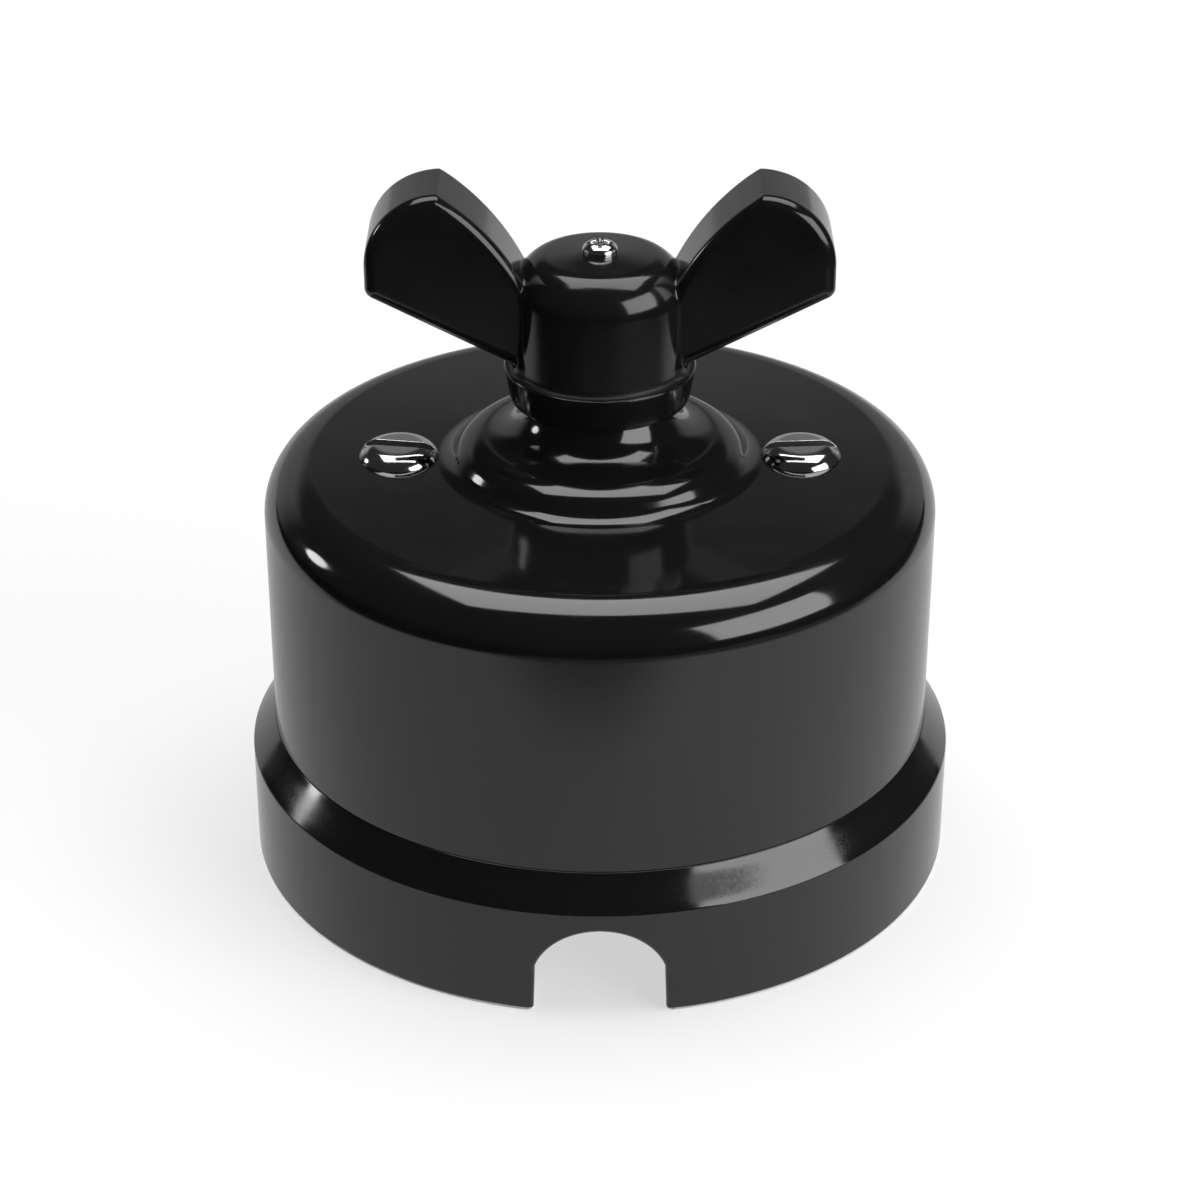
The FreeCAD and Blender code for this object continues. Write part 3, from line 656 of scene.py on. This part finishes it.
def slotted_chrome(name, middle_x, turn):
    """Chrome screw whose flat top is finely turned and whose slot is dull, with painted shade
    darkening the slot.
    """
    m = Surface(name)
    m.shader.inputs["Metallic"].default_value = 1.0
    x, y, z = m.parts(m.coords)
    angle = math.radians(turn)
    across = m.math("ADD", m.times(m.math("SUBTRACT", x, middle_x * MM), -math.sin(angle)),
                    m.times(y, math.cos(angle)))
    wall = COVER_SLOT_W / 2
    slot = m.below(m.math("ABSOLUTE", across), (wall, wall + 0.03))
    top = COVER_TOP_Z + COVER_HEAD_H
    flat = m.span(z, (top - 0.05) * MM, (top - 0.01) * MM)
    plate = m.colours(m.noise(4.0, 4.0), CHROME_DARK, CHROME_LIGHT)
    rough = m.blend(flat, m.span(m.noise(0.35, 3.0), 0.3, 0.7, 0.07, 0.12), FLAT_ROUGHNESS)
    # The slot gets painted shade in its colour and a duller roughness
    return m.finish(m.colours(slot, plate, SLOT_PAINTED_SHADE), m.blend(slot, rough, SLOT_ROUGHNESS),
                    m.bump(m.noise(0.3, 3.0, 0.6), 0.0004))


def fibre(name):
    """Grey vulcanised fibre with its matted strands."""
    m = Surface(name)
    strands = m.noise(0.5, 5.0, 0.6, stretch=(1, 1, 0.3), distortion=1.5)
    return m.finish(m.colours(strands, (0.23, 0.2, 0.17, 1), (0.36, 0.32, 0.27, 1)),
                    m.span(strands, 0.3, 0.7, 0.5, 0.7), m.bump(strands, 0.02))


MATERIALS = {
    "black_glaze": glaze("black_glaze"),
    "knob_black": moulding("knob_black", (0.006, 0.006, 0.006, 1), (0.010, 0.0095, 0.009, 1),
                           (0.10, 0.15), matt_ledge=True),
    "chrome": metal("chrome", CHROME_DARK, CHROME_LIGHT, (0.07, 0.13), depth=0.0004),
    "steel": metal("steel", (0.42, 0.42, 0.41, 1), (0.56, 0.56, 0.55, 1), (0.28, 0.42),
                   brush=(1, 1, 5)),
    "spring_steel": metal("spring_steel", (0.25, 0.27, 0.33, 1), (0.42, 0.43, 0.46, 1),
                          (0.22, 0.34), brush=(6, 1, 1)),
    "spring_bronze": metal("spring_bronze", (0.52, 0.30, 0.16, 1), (0.66, 0.42, 0.24, 1),
                           (0.24, 0.36), brush=(1, 6, 1)),
    "brass": metal("brass", (0.60, 0.43, 0.19, 1), (0.78, 0.60, 0.30, 1), (0.22, 0.36),
                   brush=(1, 1, 4)),
    "drum_moulding": moulding("drum_moulding", (0.045, 0.018, 0.010, 1),
                              (0.085, 0.036, 0.02, 1), (0.22, 0.34)),
    "fibre": fibre("fibre"),
}

# Carried-over nodes keep their shape and get the material of their slot
slot_of = {part["node"]: part["material_slot"] for part in frame["record"]["subparts"]}
for node_name, node_object in nodes.items():
    one_material(node_object.data, MATERIALS[slot_of.get(node_name, "steel")])


# Cutters for the holes
def drill(outline, x, y):
    """Turned cutter that stands at (x, y)."""
    vertices, faces = lathe(outline, HOLE_SIDES)
    return [(vx + x, vy + y, vz) for vx, vy, vz in vertices], faces


def tube(radius, low, high, x, y):
    low, high = low - SPARE, high + SPARE
    return drill(rounded([(0, low, 0), (radius, low, 0), (radius, high, 0), (0, high, 0)]), x, y)


def deck_hole(radius, x, y):
    return tube(radius, DECK_Z, BASE_H, x, y)


def countersunk(x, y):
    """Hole through the deck for a countersunk screw from below."""
    low, high = DECK_Z - SPARE, BASE_H + SPARE
    return drill(rounded([
        (0, low, 0), (CSK_HEAD_R, low, 0), (CSK_HEAD_R, DECK_Z, 0),
        (SMALL_HOLE_R, DECK_Z + CSK_HEAD_H, 0), (SMALL_HOLE_R, high, 0), (0, high, 0)]), x, y)


def polar(radius, degrees):
    return radius * math.cos(math.radians(degrees)), radius * math.sin(math.radians(degrees))


# Cover
COVER_EDGE_R = 0.15
cover_outline = rounded([
    (COVER_INNER_R, BASE_H, 0),
    (COVER_R, BASE_H, COVER_EDGE_R),
    (COVER_R, COVER_TOP_Z, SHOULDER_R),
    (COLLAR_FOOT_R, COVER_TOP_Z, COLLAR_FOOT_FILLET),
    (COLLAR_BEAD_R, COVER_TOP_Z + COLLAR_BEAD_H, COLLAR_BEAD_FILLET),
    (NECK_ROOT_R, COVER_TOP_Z + COLLAR_BEAD_H, NECK_FILLET),
    (NECK_R, NECK_TOP_Z, 0),
    (NECK_BORE_R, NECK_TOP_Z, EDGE_R),
    (NECK_BORE_R, COVER_TOP_Z, 0),
    (COLLAR_CORE_R, CEILING_Z, EDGE_R),
    (COVER_INNER_R, CEILING_Z, SHOULDER_R / 2),
])
cover_mesh = cut("cover_shell", lathe(cover_outline, RING_SIDES, longest=4.0),
                 [tube(COVER_HOLE_R, CEILING_Z, COVER_TOP_Z, x, 0) for x in (SCREW_X, -SCREW_X)])
finish_piece("cover_shell", cover_mesh, "housing", "cover",
             MATERIALS["black_glaze"], normals=turned_normals(cover_mesh, cover_outline))

# Base, with its arched cable notch and the holes in the deck
base_outline = rounded([
    (0, DECK_Z, 0),
    (BASE_INNER_R, DECK_Z, UNDERSIDE_R),
    (BASE_INNER_R, 0, EDGE_R),
    (BASE_R, 0, EDGE_R),
    (BASE_R, BASE_WALL_H, EDGE_R),
    (COVER_R, BASE_H, EDGE_R / 2),
    (UPSTAND_R, BASE_H, 0),
    (UPSTAND_R, UPSTAND_Z, EDGE_R),
    (ROOM_R, UPSTAND_Z, 0),
    (ROOM_R, BASE_H, 0),
    (PEDESTAL_R, BASE_H, 0),
    (PEDESTAL_R, PEDESTAL_Z, 0),
    (SOCKET_R, PEDESTAL_Z, 0),
    (SOCKET_R, SOCKET_Z, 0),
    (0, SOCKET_Z, 0),
])
NOTCH_HALF = 6.05
NOTCH_SPRING = 5.0        # height of the straight sides
NOTCH_TOP = 9.2
NOTCH_FLARE = 0.15        # how far each side opens out at the foot
NOTCH_FOOT_R = 0.5
NOTCH_INNER = 28.1        # the notch reaches in to here
NOTCH_RIM = 0.6           # rounding of its mouth
MOUTH_END = 75.0          # degrees that it goes round, to 0.02 mm under the wall's surface
MOUTH_ROWS = 12
MOUTH_SPARE = 3.0
NOTCH_BOX_X = 8.0         # no other cut is within this, in front of NOTCH_INNER
NOTCH_BOX_Z = DECK_Z + 0.5
notch_foot = NOTCH_HALF + NOTCH_FLARE
notch_corner = notch_foot + NOTCH_FOOT_R
notch_bend = NOTCH_FOOT_R * (1 - math.sqrt(0.5))
notch_outline = Outline((notch_corner, -SPARE), [
    ("line", (notch_corner, 0)),
    ("arc", (notch_foot + notch_bend, notch_bend), (notch_foot, NOTCH_FOOT_R)),
    ("line", (NOTCH_HALF, NOTCH_SPRING)),
    ("arc", (0, NOTCH_TOP), (-NOTCH_HALF, NOTCH_SPRING)),
    ("line", (-notch_foot, NOTCH_FOOT_R)),
    ("arc", (-notch_foot - notch_bend, notch_bend), (-notch_corner, 0)),
    ("line", (-notch_corner, -SPARE)),
    ("line", (notch_corner, -SPARE)),
])


def notch_cutter():
    """Prism through the front wall that opens out towards the wall's surface."""
    ring = np.array(notch_outline.points(longest=1.0))
    gx, gz = notch_outline.outward(ring[:, 0], ring[:, 1], reach=1e-4)
    rows = [(0.0, np.full(len(ring), -NOTCH_INNER))]
    for angle in np.linspace(0, MOUTH_END, MOUTH_ROWS):
        t = math.radians(angle)
        offset = NOTCH_RIM * (1 - math.cos(t))
        x = ring[:, 0] + gx * offset
        rows.append((offset, -np.sqrt((BASE_R - NOTCH_RIM * (1 - math.sin(t))) ** 2 - x ** 2)))
    rows.append((offset, rows[-1][1] - MOUTH_SPARE))
    vertices = [(ring[k, 0] + gx[k] * offset, y[k], ring[k, 1] + gz[k] * offset)
                for offset, y in rows for k in range(len(ring))]
    count = len(ring)
    faces = []
    for i in range(0, len(vertices) - count, count):
        for k in range(count):
            n = (k + 1) % count
            faces.append((i + k, i + n, i + count + n, i + count + k))
    faces.append(tuple(range(count - 1, -1, -1)))
    faces.append(tuple(range(len(vertices) - count, len(vertices))))
    return vertices, faces


def notch_normals(at):
    """Normals of the notch's own surface; zero for the deck's holes."""
    out = np.zeros_like(at)
    mine = ((at[:, 1] < -NOTCH_INNER) & (np.abs(at[:, 0]) < NOTCH_BOX_X)
            & (at[:, 2] < NOTCH_BOX_Z))
    p = at[mine]
    radius = np.hypot(p[:, 0], p[:, 1])
    sine = np.clip(1 - (BASE_R - radius) / NOTCH_RIM, 0, 1)
    cosine = np.sqrt(1 - sine ** 2)
    gx, gz = notch_outline.outward(p[:, 0], p[:, 2], reach=1e-3)
    n = np.stack([-gx * cosine + p[:, 0] / radius * sine,
                  p[:, 1] / radius * sine,
                  -gz * cosine], 1)
    out[mine] = n / np.linalg.norm(n, axis=1, keepdims=True)
    return out


base_cutters = [notch_cutter()]
for sign in (1, -1):
    base_cutters.append(deck_hole(WALL_HOLE_R, 0, sign * WALL_HOLE_Y))
    base_cutters.append(countersunk(sign * SCREW_X, 0))
for turn in TERMINAL_ANGLES:
    base_cutters.append(deck_hole(WIRE_HOLE_R, *polar(WIRE_HOLE_AT, turn - WIRE_HOLE_ANGLE)))
    base_cutters.append(countersunk(*polar(TERMINAL_SCREW_AT, turn)))
    base_cutters.append(deck_hole(SMALL_HOLE_R, *polar(BRIDGE_SCREW_AT, turn + 90)))
base_mesh = cut("base_shell", lathe(base_outline, RING_SIDES, step_degrees=4.0, longest=3.0),
                base_cutters)
finish_piece("base_shell", base_mesh, "housing", "base",
             glaze("black_glaze_base", bare_foot=True),
             normals=turned_normals(base_mesh, base_outline, notch_normals))

# Knob: skirt, hub and two wings in one moulding
HUB_R = 8.18
HUB_FOOT_R = 8.45
HUB_CROWN = 0.36
HUB_FOOT_Z = KNOB_Z + 1.0
HUB_SHOULDER_Z, HUB_SHOULDER_ROUND = HUB_TOP_Z - 1.8, 4.0
HUB_TOP_R, HUB_TOP_ROUND = HUB_R - 2.15, 2.65
SKIRT_FOOT_ROUND = 0.5
SKIRT_TOP_ROUND = 0.15
WING_ROOT_T = 7.7
WING_END_T = 9.55
WING_RIM = 1.27
WING_CORNER_R = 1.1
WING_REACH = 21.95
WING_TIP_X = 15.0
WING_TIP_Z = SKIRT_Z + 18.25
WING_OUTER_R = 6.95
WING_SIDE_H = 2.75
WING_FALL = math.radians(28.5)
WING_BULGE = 0.87
WAIST = np.array([6.9, WING_TIP_Z - 9.45])
WING_ROOT_X = 5.9
WING_FLARE = (WING_END_T - WING_ROOT_T) / 2 / (WING_REACH - WAIST[0])
# The rim is finer along the inner part of the wing's upper edge, above a sloping line
THIN_RIM = 0.34
THIN_FROM_X, THIN_FROM_Z, THIN_SLOPE = 7.0, 56.0, 0.82
THIN_END_X, THIN_FADE = 17.0, 3.0
# Below the wing its face runs on down the hub as a rounded lobe, which sinks in higher up
LOBE_X = 8.1
LOBE_ROUND = 1.0
LOBE_SINK, LOBE_SINK_Z = 0.25, 52.3
LOBE_TOP_Z = 57.0
LOBE_FILLET = 0.9
WING_FILLET = 0.35
SKIRT_FILLET = 0.3
BORE_ROUND = 0.15
hub_outline = rounded([
    (0, HUB_FOOT_Z, 0), (HUB_FOOT_R, HUB_FOOT_Z, 0), (HUB_R, HUB_SHOULDER_Z, HUB_SHOULDER_ROUND),
    (HUB_TOP_R, HUB_TOP_Z, HUB_TOP_ROUND), (0, HUB_TOP_Z + HUB_CROWN, 0)])
skirt_outline = rounded([
    (0, KNOB_Z, 0), (SKIRT_BOTTOM_R, KNOB_Z, SKIRT_FOOT_ROUND),
    (SKIRT_TOP_R, SKIRT_Z, SKIRT_TOP_ROUND), (0, SKIRT_Z, 0)])


def wing_outline():
    """Outline of the right wing in the XZ plane, with its root inside the hub."""
    centre = np.array([WING_REACH - WING_OUTER_R, WING_TIP_Z - WING_OUTER_R])
    start = math.acos((WING_TIP_X - centre[0]) / WING_OUTER_R)
    tip = centre + WING_OUTER_R * np.array([math.cos(start), math.sin(start)])
    middle = centre + WING_OUTER_R * np.array([math.cos(start / 2), math.sin(start / 2)])
    outer = centre + np.array([WING_OUTER_R, 0.0])
    lower = outer - np.array([0.0, WING_SIDE_H])
    slope = np.array([-math.cos(WING_FALL), -math.sin(WING_FALL)])
    root_low = lower + slope * ((lower[0] - WING_ROOT_X) / -slope[0])
    up = np.array([0.0, 1.0])
    half = math.acos(float(up @ slope)) / 2
    between = (up + slope) / math.hypot(*(up + slope))
    reach = WING_CORNER_R / math.tan(half)
    corner_mid = lower + between * (WING_CORNER_R / math.sin(half) - WING_CORNER_R)
    chord = tip - WAIST
    length = math.hypot(*chord)
    bulge = np.array([-chord[1], chord[0]]) / length * WING_BULGE
    steep = math.atan2(chord[1], chord[0]) + 2 * math.atan(2 * WING_BULGE / length)
    root_high = WAIST - (WAIST[0] - WING_ROOT_X) * np.array([1.0, math.tan(steep)])
    return Outline(root_low, [
        ("line", lower + slope * reach),
        ("arc", corner_mid, lower + up * reach),
        ("line", outer),
        ("arc", middle, tip),
        ("arc", (tip + WAIST) / 2 + bulge, WAIST),
        ("line", root_high),
        ("line", root_low),
    ])


wing = wing_outline()


def knob_field(p):
    """Distance to the knob, which is the same on both sides and at the front and back."""
    x, y, z = np.abs(p[:, 0]), np.abs(p[:, 1]), p[:, 2]
    r = np.hypot(x, y)
    face = WING_ROOT_T / 2 + (x - WAIST[0]) * WING_FLARE
    side = (y - face) * math.cos(math.atan(WING_FLARE))
    thin = (np.clip(z - THIN_FROM_Z - THIN_SLOPE * (x - THIN_FROM_X), 0, 1)
            * np.clip((THIN_END_X - x) / THIN_FADE, 0, 1))
    wings = both_round(wing.distance(x, z), side, WING_RIM - THIN_RIM * thin)
    lobe = both_round(x - LOBE_X, side + LOBE_SINK * np.maximum(z - LOBE_SINK_Z, 0), LOBE_ROUND)
    lobe = np.maximum(lobe, np.maximum(z - LOBE_TOP_Z, HUB_FOOT_Z - z))
    hub = turned_distance(hub_outline, p)
    hub = np.minimum(hub, union_round(hub, lobe, LOBE_FILLET))
    body = union_round(hub, wings, WING_FILLET)
    skirt = turned_distance(skirt_outline, p)
    root = np.maximum(union_round(body, skirt, SKIRT_FILLET), r - LEDGE_R)
    body = np.minimum(np.minimum(body, skirt), root)
    recess = np.maximum(r - RECESS_R, z - (KNOB_Z + RECESS_D))
    bore = np.maximum(np.maximum(r - SPINDLE_BORE_R, y - SPINDLE_BORE_FLAT), z - SPINDLE_TOP_Z)
    inner = np.minimum(np.minimum(recess, bore), r - KNOB_SCREW_HOLE_R)
    return both_round(body, -inner, BORE_ROUND)


knob_mesh, knob_normals = fitted("knob", knob_field, KNOB_VOXEL)
finish_piece("knob_moulding", knob_mesh, "rotor", "knob",
             MATERIALS["knob_black"], vertex_normals=knob_normals)

# Cover screws: slotted pan heads whose slots stand at an angle to X
COVER_SHANK_R = 2.0
COVER_SHANK_H = 14.0
COVER_HEAD_R = 3.9
COVER_FLAT_R = 3.39       # where the head's side would meet its flat top
COVER_SLOT_D = 0.8
SLOT_ROUND = 0.06
cover_head = rounded([
    (0, -COVER_SHANK_H, 0), (COVER_SHANK_R, -COVER_SHANK_H, 0.5), (COVER_SHANK_R, 0, 0),
    (COVER_HEAD_R, 0, 0.03), (COVER_FLAT_R, COVER_HEAD_H, 1.9), (0, COVER_HEAD_H, 0)])
for side, middle_x, turn in (("right", SCREW_X, 4.0), ("left", -SCREW_X, -9.0)):
    def slotted(p, foot=(middle_x, 0.0, COVER_TOP_Z), angle=math.radians(turn)):
        """Distance to one cover screw."""
        q = p - np.array(foot)
        across = np.abs(-math.sin(angle) * q[:, 0] + math.cos(angle) * q[:, 1])
        slot = np.maximum(across - COVER_SLOT_W / 2, COVER_HEAD_H - COVER_SLOT_D - q[:, 2])
        return both_round(turned_distance(cover_head, q), -slot, SLOT_ROUND)

    mesh, normals = fitted("cover_screw_" + side, slotted, COVER_SCREW_VOXEL)
    finish_piece("cover_screw_head_" + side, mesh, "housing", "cover_screw_" + side,
                 slotted_chrome("chrome_" + side, middle_x, turn), vertex_normals=normals)

# Knob screw: a dome with a cross recess
KNOB_HEAD_R = 1.71
KNOB_DOME_H = 0.95
KNOB_HEAD_H = 1.08
KNOB_HEAD_FOOT = -0.1
KNOB_SHANK_R = 1.0
KNOB_SHANK_END = -12.0
KNOB_TIP_ROUND = 0.25
KNOB_TIP_BEND = 0.073         # how far the middle of that rounding stands off the corner
DOME_ARC = 15                 # degrees of each of the arcs that make up the dome
CROSS_D = 0.55
CROSS_HALF_L = (0.45, 0.55)   # half length of a bar at its floor, and what it gains to the top
CROSS_HALF_W = (0.14, 0.09)
CROSS_ROUND = 0.05


def dome(degrees):
    """Point of the head's elliptic dome, from its side at 0 degrees to its top at 90."""
    a = math.radians(degrees)
    return KNOB_HEAD_R * math.cos(a), KNOB_HEAD_H - KNOB_DOME_H * (1 - math.sin(a))


knob_head = Outline((0, KNOB_SHANK_END), [
    ("line", (KNOB_SHANK_R - KNOB_TIP_ROUND, KNOB_SHANK_END)),
    ("arc", (KNOB_SHANK_R - KNOB_TIP_BEND, KNOB_SHANK_END + KNOB_TIP_BEND),
     (KNOB_SHANK_R, KNOB_SHANK_END + KNOB_TIP_ROUND)),
    ("line", (KNOB_SHANK_R, KNOB_HEAD_FOOT)),
    ("line", (KNOB_HEAD_R, KNOB_HEAD_FOOT)),
    ("line", dome(0)),
    *[("arc", dome(d + DOME_ARC / 2), dome(d + DOME_ARC)) for d in range(0, 90, DOME_ARC)],
    ("line", (0, KNOB_SHANK_END))])


def crossed(p):
    """Distance to the knob screw."""
    q = p - np.array([0.0, 0.0, HUB_TOP_Z + HUB_CROWN])
    up = np.clip(q[:, 2] - (KNOB_HEAD_H - CROSS_D), 0, CROSS_D) / CROSS_D
    half_l = CROSS_HALF_L[0] + CROSS_HALF_L[1] * up
    half_w = CROSS_HALF_W[0] + CROSS_HALF_W[1] * up
    bars = [np.maximum(np.abs(q[:, i]) - half_l, np.abs(q[:, 1 - i]) - half_w) for i in (0, 1)]
    recess = np.maximum(np.minimum(*bars), KNOB_HEAD_H - CROSS_D - q[:, 2])
    return both_round(turned_distance(knob_head, q), -recess, CROSS_ROUND)


mesh, normals = fitted("knob_screw", crossed, KNOB_SCREW_VOXEL)
finish_piece("knob_screw_head", mesh, "rotor", "knob_screw", MATERIALS["chrome"],
             vertex_normals=normals)

# Camera at the photograph's angle
camera_data = bpy.data.cameras.new("camera")
camera_data.sensor_width = 36.0
camera_data.lens = 93.774
camera_data.clip_start = 0.01
camera_data.clip_end = 20.0
camera = new_object("camera", camera_data)
camera.location = (0.0, -0.27305, 0.17402)
camera.rotation_euler = (math.radians(61.406), 0.0, 0.0)
scene.camera = camera


# Lamps: a large one overhead, a window-like one at the right and a small one at the left
LAMPS_AROUND = Vector((0, 0, 0.04))


def lamp(name, width, height, radiance, shape="RECTANGLE"):
    """Area lamp of the given radiance, still to be placed."""
    data = bpy.data.lights.new(name, "AREA")
    data.shape = shape
    data.size = width
    data.size_y = height
    area = width * height * (math.pi / 4 if shape == "DISK" else 1.0)
    data.energy = radiance * area * math.pi
    return new_object(name, data)


def face_object(lamp_object, azimuth, elevation):
    """Stands a lamp 1 m from the object. Azimuth 0 is the front, and positive is to the right."""
    a, e = math.radians(azimuth), math.radians(elevation)
    towards = Vector((math.sin(a) * math.cos(e), -math.cos(a) * math.cos(e), math.sin(e)))
    towards.normalize()
    lamp_object.location = LAMPS_AROUND + towards
    lamp_object.rotation_mode = "QUATERNION"
    lamp_object.rotation_quaternion = (-towards).to_track_quat("-Z", "Y")


top_lamp = lamp("top", width=1.24, height=0.80, radiance=3.9)
top_lamp.location = (0.11, 0.19, 1.04)
top_lamp.rotation_euler = (0.0, 0.0, math.radians(-3))
side_lamp = lamp("side", width=0.78, height=0.64, radiance=4.2)
face_object(side_lamp, azimuth=57.5, elevation=20.5)
spot_lamp = lamp("spot", width=0.2, height=0.2, radiance=9.0, shape="DISK")
face_object(spot_lamp, azimuth=-108, elevation=15)

# The white sheet that the switch stands on, in metres. Glossy rays see it end in a dark
# room: at its front edge, its right edge, which moves out behind, and its slanted left edge.
FRONT_EDGE = (-0.165, -0.125)
RIGHT_EDGE = (-0.165, -0.135)
RIGHT_SPREAD, SPREAD_FROM_Y = 0.7, 0.05
LEFT_EDGE = (-0.135, -0.105)
LEFT_ACROSS = (0.807, 0.590)
SHADE_AT = (-0.010, -0.135)       # a dark oval in front
SHADE_SIZE = (0.085, 0.058)
SHADE_EDGE = (0.53, 1.1)
LIT_R = (0.108, 0.122)            # in front the sheet is lit only this near the object
LIT_FRONT = (-0.02, 0.03)
LEAST_LIT = 0.24
# Painted light: glossy rays see the sheet lit more towards the right
LEFT_LIGHT, RIGHT_LIGHT_GAIN = 0.59, 0.13
LIGHT_RISE_X = (-0.03, 0.055)
# The camera sees white: paper that glows more, and is shaded less, far from the object
NEAR_GLOW, FAR_GAIN = 0.60, 0.40
FAR_R = (0.12, 0.45)
PAPER_TONE = 0.80
SEEN_TONE = 1.00                  # glow and shaded paper add up to this for the camera


def paper():
    """White paper that the camera sees as white with the object's shadow on it."""
    material = bpy.data.materials.new("paper")
    m = Tree(material)
    m.tree.nodes.clear()
    x, y, _ = m.parts(m.add("ShaderNodeNewGeometry").outputs["Position"])
    ray = m.add("ShaderNodeLightPath").outputs
    radius = m.length(x, y)

    front = m.ramp(y, *FRONT_EDGE)
    behind = m.math("MAXIMUM", m.math("SUBTRACT", y, SPREAD_FROM_Y), 0.0)
    right = m.ramp(m.math("SUBTRACT", m.times(behind, RIGHT_SPREAD), x), *RIGHT_EDGE)
    slant = m.math("ADD", m.times(x, LEFT_ACROSS[0]), m.times(y, LEFT_ACROSS[1]))
    sheet = m.times(m.times(front, right), m.ramp(slant, *LEFT_EDGE))
    dx, dy = [m.times(m.math("SUBTRACT", part, middle), 1 / size)
              for part, middle, size in zip((x, y), SHADE_AT, SHADE_SIZE)]
    dim = m.times(m.ramp(radius, *LIT_R), m.ramp(m.times(y, -1.0), *LIT_FRONT))
    lit = m.math("MINIMUM", m.ramp(m.length(dx, dy), *SHADE_EDGE), m.math("SUBTRACT", 1.0, dim))
    lit = m.math("ADD", m.times(lit, 1 - LEAST_LIT), LEAST_LIT)
    # Painted light: the sheet's reflection grows lighter towards the right
    painted_light = m.math("ADD", m.times(m.ramp(x, *LIGHT_RISE_X), RIGHT_LIGHT_GAIN), LEFT_LIGHT)
    seen = m.times(m.times(sheet, lit), painted_light)

    white = m.math("ADD", m.times(m.ramp(radius, *FAR_R), FAR_GAIN), NEAR_GLOW)
    glow = m.add("ShaderNodeEmission")
    m.join(m.math("ADD", m.times(ray["Is Camera Ray"], white),
                  m.times(ray["Is Glossy Ray"], seen)), glow.inputs["Strength"])
    less = m.math("SUBTRACT", white, SEEN_TONE - PAPER_TONE)
    shade = m.math("SUBTRACT", PAPER_TONE, m.times(ray["Is Camera Ray"], less))
    shade = m.times(shade, m.math("SUBTRACT", 1.0, ray["Is Glossy Ray"]))
    grey = m.add("ShaderNodeCombineColor")
    for socket in grey.inputs:
        m.join(shade, socket)
    cloth = m.add("ShaderNodeBsdfDiffuse")
    m.join(grey.outputs[0], cloth.inputs["Color"])
    both = m.add("ShaderNodeAddShader")
    m.join(glow.outputs[0], both.inputs[0])
    m.join(cloth.outputs[0], both.inputs[1])
    m.join(both.outputs[0], m.add("ShaderNodeOutputMaterial").inputs["Surface"])
    return material


FLOOR_HALF = 6
floor_mesh = new_mesh("floor", [(-FLOOR_HALF, -FLOOR_HALF, 0), (FLOOR_HALF, -FLOOR_HALF, 0),
                                (FLOOR_HALF, FLOOR_HALF, 0), (-FLOOR_HALF, FLOOR_HALF, 0)],
                      [(0, 1, 2, 3)])
floor_mesh.materials.append(paper())
new_object("floor", floor_mesh)

# A dark room with a lit backdrop low behind the object, seen as white by the camera
CARD_LOW = (-0.48, -0.36)
CARD_BEHIND = (0.55, 0.80)
CARD_GLOW = 0.336
ROOM_GLOW = 0.028
world = bpy.data.worlds.new("room")
scene.world = world
room = Tree(world)
room.tree.nodes.clear()
_, back, up = room.parts(room.add("ShaderNodeTexCoord").outputs["Generated"])
card = room.times(room.ramp(room.times(up, -1.0), *CARD_LOW), room.ramp(back, *CARD_BEHIND))
shine = room.math("ADD", room.times(card, CARD_GLOW), ROOM_GLOW)
is_camera = room.add("ShaderNodeLightPath").outputs["Is Camera Ray"]
background = room.add("ShaderNodeBackground")
background.inputs["Color"].default_value = (1, 1, 1, 1)
room.join(room.math("MAXIMUM", shine, is_camera), background.inputs["Strength"])
room.join(background.outputs[0], room.add("ShaderNodeOutputWorld").inputs["Surface"])

scene.view_settings.view_transform = "Standard"
